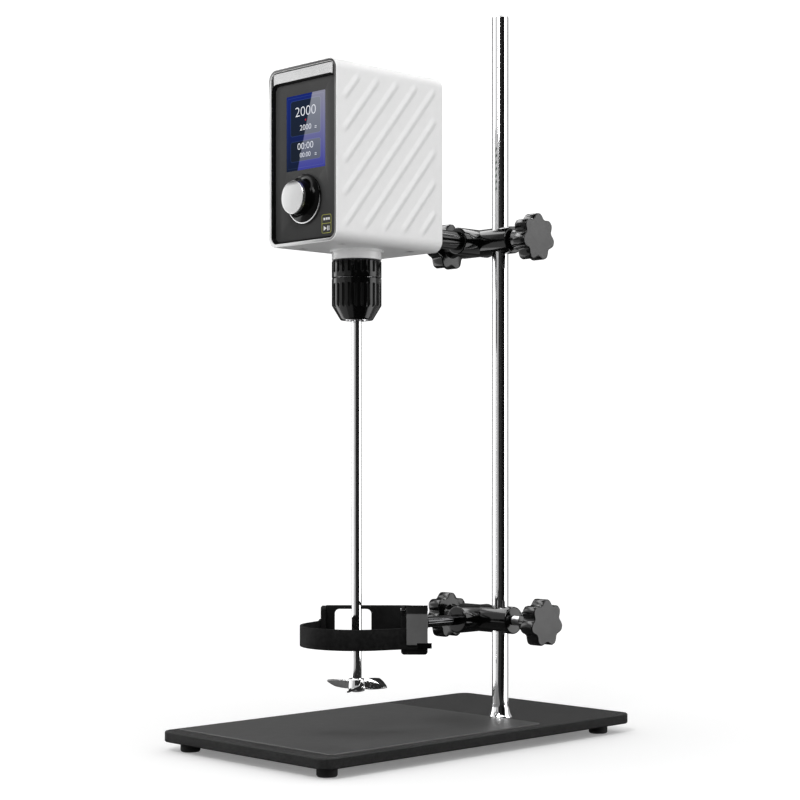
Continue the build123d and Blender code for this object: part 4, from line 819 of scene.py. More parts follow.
# %% Rods
ROD_END = 93.0
HEAD_ROD_SECTION = [(0, -25.4), (5.0, -25.4), (5.0, -11.4, 0), (HEAD_ROD_R, -11.4, 0),
                    (HEAD_ROD_R, ROD_END), (0, ROD_END)]
VESSEL_ROD_SECTION = [(0, -1.2), (VESSEL_ROD_R, -1.2, 0), (VESSEL_ROD_R, ROD_END), (0, ROD_END)]
bm = bmesh.new()
turned(bm, rounded_corners(HEAD_ROD_SECTION, 0.8), (ROD_X, 0, HEAD_ROD_Z), "+Y", 64)
to_piece("carrying_rod", bm, "head", black_gloss, ["head_rod"])
bm = bmesh.new()
turned(bm, rounded_corners(VESSEL_ROD_SECTION, 0.7), (ROD_X, 0, VESSEL_ROD_Z), "+Y", 64)
to_piece("holder_rod", bm, "vessel_holder", rod_steel, ["vessel_rod"])

# %% [markdown]
# ## Skins
# A moulded case isn't round and isn't flat. It is drawn as a row of loops, each a rounded
# rectangle with the same number of points, and a skin of quads joins them. Subdividing a cube
# would round it as well, but it wouldn't put enough points on the sides for ribs or keep the
# corners at their radius.


# %% Tools for skins
def box_line(width, height, radius, across=1, up=1, steps=8, centre=(0, 0)):
    """Outline of a rounded rectangle with the same number of points for any size."""
    points = []
    half_w = width / 2 - radius
    half_h = height / 2 - radius
    corners = [(half_w, -half_h, -90), (half_w, half_h, 0)]
    corners += [(-half_w, half_h, 90), (-half_w, -half_h, 180)]
    for index, (x, y, angle) in enumerate(corners):
        for step in range(steps + 1):
            turn = math.radians(angle + 90 * step / steps)
            points.append((x + radius * math.cos(turn), y + radius * math.sin(turn)))
        run = up if index % 2 == 0 else across
        next_x, next_y, next_angle = corners[(index + 1) % 4]
        turn = math.radians(next_angle)
        goal = Vector((next_x + radius * math.cos(turn), next_y + radius * math.sin(turn)))
        start = Vector(points[-1])
        for step in range(1, run):
            points.append(tuple(start.lerp(goal, step / run)))
    return [(x + centre[0], y + centre[1]) for x, y in points]


def skinned(bm, loops, capped=False, closed=False):
    """Quads over a row of equal loops, with end faces or joined into a ring."""
    rings = [[bm.verts.new(Vector(point) * MM) for point in loop] for loop in loops]
    rows = list(zip(rings, rings[1:]))
    if closed:
        rows.append((rings[-1], rings[0]))
    for low, high in rows:
        for i in range(len(low)):
            j = (i + 1) % len(low)
            bm.faces.new((low[i], low[j], high[j], high[i]))
    if capped:
        bm.faces.new(rings[0])
        bm.faces.new(rings[-1])


print("a rounded box line has", len(box_line(10, 10, 1)), "points")

# %% [markdown]
# ## Head shell
# The case is moulded in one piece, with soft diagonal ribs raised on both sides and a thin
# bright rim round the front. The ribs grow out of the wall with a rounded section and fade at
# their ends. Ribs laid on as separate bars would meet the wall in a sharp line, so the wall
# itself is raised: each point of the side moves out by the height of the rib that passes it.

# %% Head sizes
HEAD_X = 12.0
HEAD_MIDDLE = 473.1
HEAD_WIDE = 80.7
HEAD_HIGH = 141.2
HEAD_FRONT = -123.5
HEAD_BACK = -9.4
CORNER = 9.0
WALL = 2.6
RIM = 0.9
BEZEL_SEAT = -117.5
SPINDLE_Y = -65.0
SIDE_MIDDLE = (HEAD_FRONT + HEAD_BACK) / 2
RIBS = 11
RIB_SLOPE = math.radians(50)
RIB_PITCH = 20.8
RIB_HALF = 4.1
RIB_HEIGHT = 0.9
RIB_FADE = 9.0
RIB_SHORTEST = 10
RIB_REACH_Y = (HEAD_BACK - HEAD_FRONT) / 2 - 5.0
RIB_REACH_Z = HEAD_HIGH / 2 - CORNER - 0.5
print("head", HEAD_WIDE, "by", HEAD_HIGH, "mm")


# %% Ribs
def smooth(value):
    """0 below 0, 1 above 1, and a soft step between them."""
    level = min(1.0, max(0.0, value))
    return level * level * (3 - 2 * level)


def rib_rise(y, z):
    """How far the side stands proud at a point: soft ridges, clipped to a box inside the side."""
    across = y - SIDE_MIDDLE
    up = z - HEAD_MIDDLE
    rise = 0.0
    for index in range(RIBS):
        shift = (index - RIBS // 2) * RIB_PITCH
        away = (across - shift) * math.sin(RIB_SLOPE) - up * math.cos(RIB_SLOPE)
        if abs(away) >= RIB_HALF:
            continue
        along = (across - shift) * math.cos(RIB_SLOPE) + up * math.sin(RIB_SLOPE)
        low = max((-RIB_REACH_Y - shift) / math.cos(RIB_SLOPE), -RIB_REACH_Z / math.sin(RIB_SLOPE))
        high = min((RIB_REACH_Y - shift) / math.cos(RIB_SLOPE), RIB_REACH_Z / math.sin(RIB_SLOPE))
        if high - low < RIB_SHORTEST:
            continue
        ends = smooth((along - low) / RIB_FADE) * smooth((high - along) / RIB_FADE)
        rise = max(rise, RIB_HEIGHT * ends * math.cos(math.pi * away / RIB_HALF / 2) ** 2)
    return rise


print("highest point of a rib", round(rib_rise(SIDE_MIDDLE, HEAD_MIDDLE), 2), "mm")

# %% [markdown]
# The skin runs from the back edge along the outside, round the rim and back along the inside,
# so it closes into a wall. Recesses for four screws and the hole for the spindle are then
# carved into its floor.

# %% Head shell
SHELL_STATIONS = 140
SHELL_UP = 150
RIM_STEPS = 4
RIM_INSET = 0.3
BELOW_HEAD = 400.0


def shell_loop(y, inset, ribs=False):
    """One loop of the case at depth y, inset from its outline, finely stepped up the sides."""
    points = []
    wide = HEAD_WIDE - 2 * inset
    high = HEAD_HIGH - 2 * inset
    for u, v in box_line(wide, high, CORNER - inset, across=2, up=SHELL_UP):
        x = HEAD_X + u
        z = HEAD_MIDDLE + v
        if ribs and abs(abs(u) - HEAD_WIDE / 2) < 0.001:
            x += math.copysign(rib_rise(y, z), u)
        points.append((x, y, z))
    return points


loops = [shell_loop(HEAD_BACK, 0)]
for step in range(1, SHELL_STATIONS + 1):
    y = HEAD_BACK + (HEAD_FRONT + RIM - HEAD_BACK) * step / SHELL_STATIONS
    loops.append(shell_loop(y, 0, ribs=True))
for step in range(1, RIM_STEPS + 1):
    turn = math.pi / 2 * step / RIM_STEPS
    loops.append(shell_loop(HEAD_FRONT + RIM * (1 - math.sin(turn)), RIM * (1 - math.cos(turn))))
loops.append(shell_loop(HEAD_FRONT, WALL - RIM_INSET))
loops.append(shell_loop(HEAD_FRONT + RIM_INSET, WALL))
loops.append(shell_loop(BEZEL_SEAT, WALL))
loops.append(shell_loop(HEAD_BACK, WALL))
shell = bmesh.new()
skinned(shell, loops, closed=True)

holes = [(x, y, 3.9, 404.3) for x in (-23, 23) for y in (-37, 37)]
holes.append((0, 0, 16.0, 408.0))
tools = []
for x, y, radius, top in holes:
    tool = bar(radius, BELOW_HEAD, top, (HEAD_X + x, SPINDLE_Y + y, 0), steps=48)
    tools.append(("DIFFERENCE", tool))
case = mesh_piece("case", carved("case", shell, *tools), "head",
                  [shell_white, rim_painted_light], ["head_shell"], 32)
# The front faces of the rim take the second finish, which carries painted reflection and shade.
for face in case.data.polygons:
    if face.center.y / MM < HEAD_FRONT + 0.05 and face.normal.y < -0.8:
        face.material_index = 1
print("rim faces", sum(face.material_index for face in case.data.polygons))

# %% [markdown]
# ## Bezel and panel
# The bezel is a black frame whose opening narrows towards the dark panel, with a silver strip
# along its top. It is skinned over seven loops like the case, and the strip is a second finish
# on the faces between two of them, which keeps its edges exact. The panel is a flat part with a
# window for the screen and a hole for the knob's shaft.

# %% Bezel
PANEL_Z = 469.0
PANEL_Y = -117.9
BEZEL_Y = -122.6
STRIP_LOW, STRIP_HIGH, STRIP_HALF = 533, 540.2, 35
BEZEL_LOOPS = (
    (PANEL_Y, 75.5, 136.0, HEAD_MIDDLE, 6.4),
    (-122.4, 75.5, 136.0, HEAD_MIDDLE, 6.4),
    (BEZEL_Y, 75.1, 135.6, HEAD_MIDDLE, 6.2),
    (BEZEL_Y, 74.9, 134.9, 472.85, 6.0),
    (BEZEL_Y, 74.4, 126.6, PANEL_Z, 5.8),
    (-119.5, 71.8, 124.0, PANEL_Z, 5.0),
    (PANEL_Y, 71.8, 124.0, PANEL_Z, 5.0),
)
loops = []
for y, wide, high, centre_z, radius in BEZEL_LOOPS:
    loops.append([(HEAD_X + u, y, z) for u, z in box_line(wide, high, radius, centre=(0, centre_z))])
bm = bmesh.new()
skinned(bm, loops, closed=True)
for face in bm.faces:
    middle = face.calc_center_median() / MM
    in_strip = STRIP_LOW < middle.z < STRIP_HIGH and abs(middle.x - HEAD_X) < STRIP_HALF
    if in_strip and middle.y < BEZEL_Y + 0.1:
        face.material_index = 1
to_piece("bezel", bm, "head", [bezel_black, silver], ["front_bezel"], 30)

# %% Panel
SCREEN_WIDE = 45.6
SCREEN_HIGH = 59.2
SCREEN_Z = 491.4
SCREEN_LEFT = HEAD_X - SCREEN_WIDE / 2
SCREEN_TOP = SCREEN_Z + SCREEN_HIGH / 2
KNOB_Z = 438.5
window = box_line(SCREEN_WIDE, SCREEN_HIGH, 0.6, steps=4, centre=(0, SCREEN_Z - PANEL_Z))
shaft_hole = round_line(3.5, 32, (0, KNOB_Z - PANEL_Z))
bm = bmesh.new()
cut_out(bm, box_line(71.6, 123.8, 4.9), 0, 1.6, (HEAD_X, PANEL_Y, PANEL_Z), "-Y", edge=0.15, steps=2,
        holes=[window, shaft_hole])
to_piece("panel_plate", bm, "head", panel_black, ["front_panel"], 30)

# %% [markdown]
# ## Screen finishes
# A colour screen makes its own light, so its layers glow instead of reflecting. The picture is
# built in thin layers: a ground, two dark fields with a thin outline and the figures. An image
# texture would be quicker and would blur close by. One diagonal glare, a painted reflection,
# runs through all the layers as a lighter colour over their right side. It is worked out from
# the place on the screen, so it stays where it is from every side.

# %% Screen finishes
GLARE_SLOPE = 0.384
GLARE_AT = 0.674
GLARE_SOFT = 0.012


def lit(name, top, bottom, glare=0.95, shine_top=(140, 140, 156), shine_bottom=(60, 64, 152)):
    """A lit layer of the screen, a little darker below, with a painted reflection, the glare, over its
    right side.
    """
    made = bpy.data.materials.new(name)
    made.use_nodes = True
    tree = made.node_tree
    shader = tree.nodes["Principled BSDF"]
    shader.inputs["Base Color"].default_value = (0.0, 0.0, 0.0, 1)
    shader.inputs["Roughness"].default_value = 0.12
    shader.inputs["Specular IOR Level"].default_value = 0.05
    shader.inputs["Emission Strength"].default_value = 1.0
    spot = add_node(tree, "SeparateXYZ", {0: add_node(tree, "TexCoord").outputs["Object"]})
    u = ramp(tree, spot.outputs["X"], SCREEN_LEFT * MM, (SCREEN_LEFT + SCREEN_WIDE) * MM)
    v = ramp(tree, spot.outputs["Z"], SCREEN_TOP * MM, (SCREEN_TOP - SCREEN_HIGH) * MM)
    # Painted reflection: the glare lightens the layer to the right of a slanted line.
    edge = add_node(tree, "Math", {0: v, 1: GLARE_SLOPE, 2: -GLARE_AT}, operation="MULTIPLY_ADD")
    side = add_node(tree, "Math", {0: u, 1: edge.outputs[0]}, operation="ADD").outputs[0]
    past = ramp(tree, side, -GLARE_SOFT, GLARE_SOFT, interpolation_type="SMOOTHSTEP")
    share = add_node(tree, "Math", {0: past, 1: glare}, operation="MULTIPLY").outputs[0]
    under = mixed(tree, v, screen_colour(*top), screen_colour(*bottom))
    shine = mixed(tree, v, screen_colour(*shine_top), screen_colour(*shine_bottom))
    tree.links.new(mixed(tree, share, under, shine), shader.inputs["Emission Color"])
    return made


ground_blue = lit("screen_blue", (8, 32, 112), (4, 20, 44))
field_dark = lit("screen_field", (13, 28, 52), (14, 24, 38), 0.95, (134, 138, 148), (86, 92, 112))
line_blue = lit("screen_line", (44, 66, 130), (34, 48, 84), 0.9, (158, 160, 176), (84, 90, 160))
figure_white = lit("screen_white", (240, 242, 248), (236, 240, 246), 0.15)
mark_red = lit("screen_red", (190, 36, 54), (190, 36, 54), 0.2)
print("finishes", len(bpy.data.materials))

# %% [markdown]
# ## Screen layers
# Places on the screen are shares of its width and height, counted from the upper left corner,
# as a layout is drawn. The figures are Blender text that is made a mesh and fitted to its
# place. Each layer stands a few hundredths of a millimetre in front of the one below, because
# faces in one plane would flicker.

# %% Tools for the screen
SCREEN_Y = -119.5
LAYER_THICK = 0.04


def on_screen(u, v):
    """Point of the screen's face from shares of its width and height."""
    return SCREEN_LEFT + u * SCREEN_WIDE, SCREEN_TOP - v * SCREEN_HIGH


def layer(bm, low_u, low_v, high_u, high_v, depth, radius, frame_line=0.0):
    """A thin rounded field, or only its outline where a line's width is given."""
    left, top = on_screen(low_u, low_v)
    right, bottom = on_screen(high_u, high_v)
    wide = right - left
    high = top - bottom
    holes = []
    if frame_line:
        inner_radius = max(0.2, radius - frame_line)
        holes = [box_line(wide - 2 * frame_line, high - 2 * frame_line, inner_radius, steps=5)]
    centre = ((left + right) / 2, SCREEN_Y - depth, (bottom + top) / 2)
    cut_out(bm, box_line(wide, high, radius, steps=5), 0, LAYER_THICK, centre, "-Y", holes=holes)


def figures(bm, text, u, v, high, wide, depth, weight):
    """Figures fitted to a size and centred on a place of the screen. Weight thins the strokes."""
    curve = bpy.data.curves.new(text, "FONT")
    curve.body = text
    curve.offset = weight
    thing = bpy.data.objects.new(text, curve)
    scene.collection.objects.link(thing)
    bpy.context.view_layer.update()
    mesh = bpy.data.meshes.new_from_object(thing.evaluated_get(bpy.context.evaluated_depsgraph_get()))
    bpy.data.objects.remove(thing)
    xs = [point.co.x for point in mesh.vertices]
    ys = [point.co.y for point in mesh.vertices]
    x, z = on_screen(u, v)
    old = set(bm.verts)
    bm.from_mesh(mesh)
    bpy.data.meshes.remove(mesh)
    for vert in bm.verts:
        if vert not in old:
            across = (vert.co.x - (min(xs) + max(xs)) / 2) / (max(xs) - min(xs)) * wide
            up = (vert.co.y - (min(ys) + max(ys)) / 2) / (max(ys) - min(ys)) * high
            vert.co = Vector((x + across, SCREEN_Y - depth, z + up)) * MM


print("screen from", on_screen(0, 0), "to", on_screen(1, 1))

# %% Screen layers
FIELDS = ((0.107, 0.07, 0.888, 0.545), (0.107, 0.612, 0.888, 0.885))
FIELD_RADIUS = 2.2
FIELD_DEPTH = 0.02
LINE_DEPTH = 0.05
UNIT_DEPTH = 0.1
FIGURE_DEPTH = 0.12
DOT_R = 0.75
FIGURES = (
    ("2000", 0.5, 0.226, 7.3, 24.0, -0.014),
    ("2000", 0.5, 0.442, 4.2, 13.3, -0.004),
    ("00:00", 0.495, 0.686, 5.1, 18.6, -0.008),
    ("00:00", 0.49, 0.804, 3.6, 12.6, -0.004),
)
bm = bmesh.new()
cut_out(bm, box_line(SCREEN_WIDE, SCREEN_HIGH, 0.6, steps=4), -1.0, 1.5,
        (HEAD_X, -118.0, SCREEN_Z), "-Y")
to_piece("screen_glass", bm, "head", ground_blue, ["screen"], 30)

bm = bmesh.new()
for field in FIELDS:
    layer(bm, *field, FIELD_DEPTH, FIELD_RADIUS)
to_piece("screen_fields", bm, "head", field_dark)

bm = bmesh.new()
for field in FIELDS:
    layer(bm, *field, LINE_DEPTH, FIELD_RADIUS, 0.35)
layer(bm, 0.03, 0.03, 0.97, 0.97, LINE_DEPTH, 1.2, 0.25)
to_piece("screen_outlines", bm, "head", line_blue)

bm = bmesh.new()
for text, u, v, high, wide, weight in FIGURES:
    figures(bm, text, u, v, high, wide, FIGURE_DEPTH, weight)
for v in (0.448, 0.468, 0.803, 0.823):
    layer(bm, 0.735, v, 0.785, v + 0.008, UNIT_DEPTH, 0.2)
to_piece("screen_figures", bm, "head", figure_white)

bm = bmesh.new()
dot_x, dot_z = on_screen(0.5, 0.345)
disc = [(0, 0.0), (DOT_R, 0.0), (DOT_R, LAYER_THICK), (0, LAYER_THICK)]
turned(bm, disc, (dot_x, SCREEN_Y - UNIT_DEPTH, dot_z), "-Y", 24)
to_piece("screen_dot", bm, "head", mark_red)

# %% [markdown]
# ## Start mark
# The lower right corner of the panel has a rounded outline, a bar across it and a play and
# pause sign, printed in thin ink. Print could be painted into the panel's finish. Thin flat
# parts keep its edges sharp close by.

# %% Start mark
MARK_X = 36.4
MARK_Z = 416.9
SIGN_Z = MARK_Z - 3.5
DOTS_Z = MARK_Z + 3.8
LINE_INK = 0.06
SIGN_INK = 0.08
bm = bmesh.new()
cut_out(bm, box_line(10.9, 14.6, 1.6, steps=5), 0, LINE_INK, (MARK_X, SCREEN_Y, MARK_Z), "-Y",
        holes=[box_line(10.1, 13.8, 1.2, steps=5)])
cut_out(bm, box_line(10.2, 0.4, 0.1, steps=1), 0, LINE_INK, (MARK_X, SCREEN_Y, MARK_Z + 0.3), "-Y")
to_piece("mark_outline", bm, "head", line_green)
bm = bmesh.new()
cut_out(bm, [(-3.2, -1.9), (0.2, 0.0), (-3.2, 1.9)], 0, SIGN_INK, (MARK_X, SCREEN_Y, SIGN_Z), "-Y")
for x in (1.3, 2.9):
    cut_out(bm, box_line(0.75, 3.6, 0.15, steps=2), 0, SIGN_INK, (MARK_X + x, SCREEN_Y, SIGN_Z), "-Y")
for x, wide in ((-2.4, 2.0), (0.4, 1.8), (2.9, 1.6)):
    cut_out(bm, box_line(wide, 1.9, 0.2, steps=2), 0, SIGN_INK, (MARK_X + x, SCREEN_Y, DOTS_Z), "-Y")
to_piece("mark_sign", bm, "head", mark_white)

# %% [markdown]
# ## Speed knob
# The knob is built up from a bright ring, a concave black skirt and a spun metal cap. All three
# are turned. The skirt's hollow curve is a power of the height again, which is steep at the cap
# and runs out flat at the ring.

# %% Speed knob
KNOB = (HEAD_X, -120.8, KNOB_Z)
KNOB_STEPS = 128
RING_SECTION = [(3.0, 0), (19.5, 0, 0.2), (19.5, 1.2, 0.5), (3.0, 1.2)]
CAP_SECTION = [(0, 10.2), (13.0, 10.2, 0), (13.0, 12.8, 0.8), (0, 12.8)]
SKIRT_LOW, SKIRT_RISE = 1.5, 5.3
SKIRT_TOP_R, SKIRT_SPREAD, SKIRT_POWER = 13.5, 5.1, 2.3
SKIRT_STEPS = 16
bm = bmesh.new()
turned(bm, rounded_corners(RING_SECTION, 0.2, closed=True), KNOB, "-Y", KNOB_STEPS, closed=True)
to_piece("knob_rim", bm, "speed_knob", ring_chrome, ["knob_ring"])
bm = bmesh.new()
skirt = [(3.0, 1.2), (18.6, 1.2), (18.6, SKIRT_LOW)]
for t in range(1, SKIRT_STEPS + 1):
    radius = SKIRT_TOP_R + SKIRT_SPREAD * (1 - t / SKIRT_STEPS) ** SKIRT_POWER
    skirt.append((radius, SKIRT_LOW + SKIRT_RISE * t / SKIRT_STEPS))
skirt += [(13.05, 10.2), (3.0, 10.2)]
turned(bm, skirt, KNOB, "-Y", KNOB_STEPS, closed=True)
to_piece("knob_wall", bm, "speed_knob", skirt_black, ["knob_skirt"], 40)
bm = bmesh.new()
turned(bm, rounded_corners(CAP_SECTION, 0.8, steps=6), KNOB, "-Y", KNOB_STEPS)
to_piece("knob_top", bm, "speed_knob", cap_silver, ["knob_cap"], 40)

# %% [markdown]
# ## Spindle collar
# A white collar closes the case round the spindle and holds the lower bearing. It is turned
# like the others, with a flange that lies against the floor of the case.

# %% Spindle collar
SPINDLE = (HEAD_X, SPINDLE_Y, 0.0)
SOCKET_SECTION = [(5.4, 394.5), (20.0, 394.5, 0.6), (20.0, 400.5, 0), (21.5, 400.5, 0.3),
                  (21.5, 402.5, 0), (16.0, 402.5, 0), (16.0, 409.0, 0), (11.0, 409.0, 0),
                  (11.0, 395.1, 0), (5.4, 395.1, 0)]
bm = bmesh.new()
turned(bm, rounded_corners(SOCKET_SECTION, 0.3, closed=True), SPINDLE, steps=128, closed=True)
to_piece("spindle_socket", bm, "head", collar_white, ["spindle_collar"])

# %% [markdown]
# ## Chuck
# The chuck has two fluted rings, the lower one tapered, and a steel core that shows at the
# nose. A hand turns the lower ring against the upper one. The flutes end round, as a ball
# cutter leaves them. They could be cut out one by one with a Boolean, which leaves ragged
# shading on a cone. Here each loop of the skin already has the flutes pressed in, and a share
# of their depth makes them run out.

# %% Fluted loops
FLUTES = 24
FLUTE_R = 1.1
FLUTE_AT = 20.2
FLUTE_STEPS = 16
FLUTE_END = 1.6
FLUTE_END_STEPS = 6
CHUCK_R = 20.0


def fluted_loop(radius, z, share=1.0):
    """Circle with flutes pressed in, sunk by a share of their full depth."""
    points = []
    for i in range(FLUTES * FLUTE_STEPS):
        turn = math.tau * i / (FLUTES * FLUTE_STEPS)
        near = (turn + math.pi / FLUTES) % (math.tau / FLUTES) - math.pi / FLUTES
        inside = FLUTE_R ** 2 - (FLUTE_AT * math.sin(near)) ** 2
        here = radius
        if inside > 0:
            floor_r = FLUTE_AT * math.cos(near) - math.sqrt(inside)
            if floor_r < radius:
                here = min(radius, floor_r + (radius - floor_r) * (1 - share))
        points.append((SPINDLE[0] + here * math.cos(turn), SPINDLE[1] + here * math.sin(turn), z))
    return points


def plain_loop(radius, z):
    """Circle with as many points as a fluted loop."""
    return [(x, y, z) for x, y in round_line(radius, FLUTES * FLUTE_STEPS, SPINDLE)]


def flute_end(z, shape):
    """Loops over which the flutes of the full width run in (sine) or out (cosine)."""
    loops = []
    for t in range(1, FLUTE_END_STEPS + 1):
        share = shape(math.pi / 2 * t / FLUTE_END_STEPS)
        loops.append(fluted_loop(CHUCK_R, z + FLUTE_END * t / FLUTE_END_STEPS, share))
    return loops


def dull_flutes(bm, wall_radius):
    """Gives the second finish to faces nearer the axis than the wall is at their height."""
    for face in bm.faces:
        middle = face.calc_center_median() / MM
        out = math.hypot(middle.x - SPINDLE[0], middle.y - SPINDLE[1])
        wall = wall_radius(middle.z)
        face.material_index = 1 if wall - 2.5 < out < wall - 0.06 else 0


print("a fluted loop has", len(fluted_loop(CHUCK_R, 0)), "points")

# %% Chuck rings
SPLIT_Z = 380.0
BAND_FLUTES_FROM = 384.0
BAND_TOP = 394.0
NOSE_R = 13.2
NOSE_Z = 346.8
TAPER_TOP = 358.0
TAPER_OUT = 6.8
TAPER_HIGH = 11.2
TAPER_STEPS = 12
GRIP_FLUTES_TO = 374.0
GRIP_BORE = 16.8


def band_wall(z):
    """Radius of the upper ring where it has flutes, else 0."""
    return CHUCK_R if BAND_FLUTES_FROM + 0.2 < z < 393.0 else 0.0


def grip_taper(z):
    """Radius of the lower ring's cone."""
    return NOSE_R + TAPER_OUT * (z - NOSE_Z) / TAPER_HIGH


def grip_wall(z):
    """Radius of the lower ring where it has flutes, else 0."""
    return min(CHUCK_R, grip_taper(z)) if NOSE_Z < z < 375.4 else 0.0


bm = bmesh.new()
loops = [plain_loop(15.1, SPLIT_Z), plain_loop(19.6, SPLIT_Z), plain_loop(CHUCK_R, SPLIT_Z + 0.4)]
loops.append(fluted_loop(CHUCK_R, BAND_FLUTES_FROM, 0.0))
loops += flute_end(BAND_FLUTES_FROM, math.sin)
loops += [fluted_loop(CHUCK_R, 393.0), fluted_loop(19.7, 393.6), fluted_loop(19.0, BAND_TOP)]
loops.append(plain_loop(15.1, BAND_TOP))
skinned(bm, loops, closed=True)
dull_flutes(bm, band_wall)
to_piece("chuck_band", bm, "spindle", [chuck_black, flute_black],
         ["chuck_ring"], 38)

bm = bmesh.new()
loops = [plain_loop(10.3, 346.4), fluted_loop(12.7, 346.4), fluted_loop(NOSE_R, NOSE_Z)]
for t in range(1, TAPER_STEPS + 1):
    z = NOSE_Z + (TAPER_TOP - NOSE_Z) * t / TAPER_STEPS
    loops.append(fluted_loop(grip_taper(z), z))
loops += [fluted_loop(CHUCK_R, z) for z in (362.0, 368.0, GRIP_FLUTES_TO)]
loops += flute_end(GRIP_FLUTES_TO, math.cos)
loops += [plain_loop(CHUCK_R, 379.2), plain_loop(19.6, 379.6), plain_loop(GRIP_BORE, 379.6)]
loops += [plain_loop(GRIP_BORE, 370.5), plain_loop(10.4, 360.9)]
skinned(bm, loops, closed=True)
dull_flutes(bm, grip_wall)
to_piece("chuck_grip", bm, "chuck_sleeve", [chuck_black, flute_black],
         ["chuck_sleeve"], 38)

# %% [markdown]
# ## Shaft and impeller
# The shaft is plain polished bar. The impeller has three blades that twist from a steep root to
# a flatter tip and end on a circle. A blade could be bent from a flat part, but the twist is
# easier to trust as a skin over rounded sections, each turned a little further than the last.

# %% Shaft and impeller
SHAFT_R = 4.0
HUB_R = 6.5
BLADE_Z = 53.6
BLADE_ROOT, BLADE_TIP = 5.0, 25.0
BLADE_STATIONS = 24
BLADE_THICK = 1.4
bm = bar(SHAFT_R, 48.0, 367.0, SPINDLE, steps=64, rounding=0.6)
to_piece("stirring_bar", bm, "shaft", polished, ["stirring_shaft"])


def blade(bm, bearing):
    """One blade skinned over rounded sections from root to tip."""
    out = Vector((math.cos(bearing), math.sin(bearing), 0))
    across = Vector((-math.sin(bearing), math.cos(bearing), 0))
    middle = Vector((SPINDLE[0], SPINDLE[1], BLADE_Z))
    rows = []
    for step in range(BLADE_STATIONS + 1):
        share = step / BLADE_STATIONS
        chord = 9.0 + 10.0 * share - 4.0 * share * share
        pitch = math.radians(48.0 - 24.0 * share)
        pitched = across * math.cos(pitch) + Vector((0, 0, math.sin(pitch)))
        normal = Vector((0, 0, math.cos(pitch))) - across * math.sin(pitch)
        row = []
        for u, v in box_line(chord, BLADE_THICK, 0.6, across=10, steps=4):
            point = pitched * u + normal * v
            rim = math.sqrt(BLADE_TIP ** 2 - point.dot(across) ** 2)
            row.append(middle + out * (BLADE_ROOT + share * (rim - BLADE_ROOT)) + point)
        rows.append(row)
    skinned(bm, rows, capped=True)


HUB_RING = [(SHAFT_R, 48.6), (HUB_R, 48.6), (HUB_R, 58.6), (SHAFT_R, 58.6)]
bm = bmesh.new()
turned(bm, rounded_corners(HUB_RING, 0.8, closed=True), SPINDLE, steps=64, closed=True)
for bearing in (-45, 75, 195):
    blade(bm, math.radians(bearing))
to_piece("propeller", bm, "shaft", polished, ["impeller"], 40)

# %% [markdown]
# ## Strap clamp
# A V bracket on the rod backs the vessel, a rubber strap goes round it, and a lever on one wing
# pulls the strap tight. The wings stand at 45 degrees, so places are given by how far they are
# out from the vessel's axis and how far along their wing. Working in the wing's own directions
# keeps every number plain.

# %% Tools for the wings
DIAGONAL = math.sqrt(0.5)
WING = {}
FRONTAL = {}
for way in (-1, 1):
    slant = way * DIAGONAL
    WING[way] = Matrix(((slant, 0, slant), (-DIAGONAL, 0, DIAGONAL), (0, 1, 0)))
    FRONTAL[way] = Matrix(((slant, 0, slant), (DIAGONAL, 0, -DIAGONAL), (0, 1, 0)))


def wing_point(way, out, along):
    """Place on a wing: 1 is the right one and -1 the left one."""
    return HEAD_X + way * DIAGONAL * (out + along), SPINDLE_Y + DIAGONAL * (out - along)


print("right wing begins at", wing_point(1, 44.0, 0))

# %% [markdown]
# The bracket is bent from plate. Its outline from above is the two lines of the V with their
# bend, extruded to the plate's height. A window is carved through each wing and the socket for
# the rod is joined on at the back.

# %% V bracket
BRACKET_IN, BRACKET_OUT = 44.0, 47.0
BRACKET_END = 27.0
BRACKET_LOW, BRACKET_HIGH = 84.0, 114.0
BOSS_SECTION = [(0, -1.6), (8.0, -1.6, 0), (8.0, 9.7, 0.6), (4.55, 9.7, 0), (4.55, 6.0, 0), (0, 6.0)]
inner_bend = (HEAD_X, SPINDLE_Y + BRACKET_IN / DIAGONAL)
outer_bend = (HEAD_X, SPINDLE_Y + BRACKET_OUT / DIAGONAL)
inner_ends = [wing_point(way, BRACKET_IN, BRACKET_END) for way in (1, -1)]
outer_ends = [wing_point(way, BRACKET_OUT, BRACKET_END) for way in (-1, 1)]
inner = [inner_ends[0], inner_bend, inner_ends[1]]
outer = [outer_ends[0], outer_bend, outer_ends[1]]
outline = rounded_corners(inner, 6.0, steps=8) + rounded_corners(outer, 9.0, steps=8)
bm = bmesh.new()
cut_out(bm, outline, BRACKET_LOW, BRACKET_HIGH, (0, 0, 0), edge=0.35, steps=2)
windows = []
for way in (-1, 1):
    tool = bmesh.new()
    centre = (*wing_point(way, 0, 4.65), VESSEL_ROD_Z)
    cut_out(tool, box_line(30.3, 24.0, 4.0, steps=6), 42.0, 49.0, centre, WING[way])
    windows.append(("DIFFERENCE", tool))
boss = bmesh.new()
turned(boss, rounded_corners(BOSS_SECTION, 0.6), (ROD_X, 0, VESSEL_ROD_Z), "+Y", 64)
mesh_piece("v_bracket", carved("v_bracket", bm, *windows, ("UNION", boss)), "vessel_holder",
           bracket_black, ["clamp_bracket"], 32)

# %% [markdown]
# Each wing ends in a flat frame. The right one has two ears that hold the lever's pin, and the
# left one has two rivets that hold the strap.

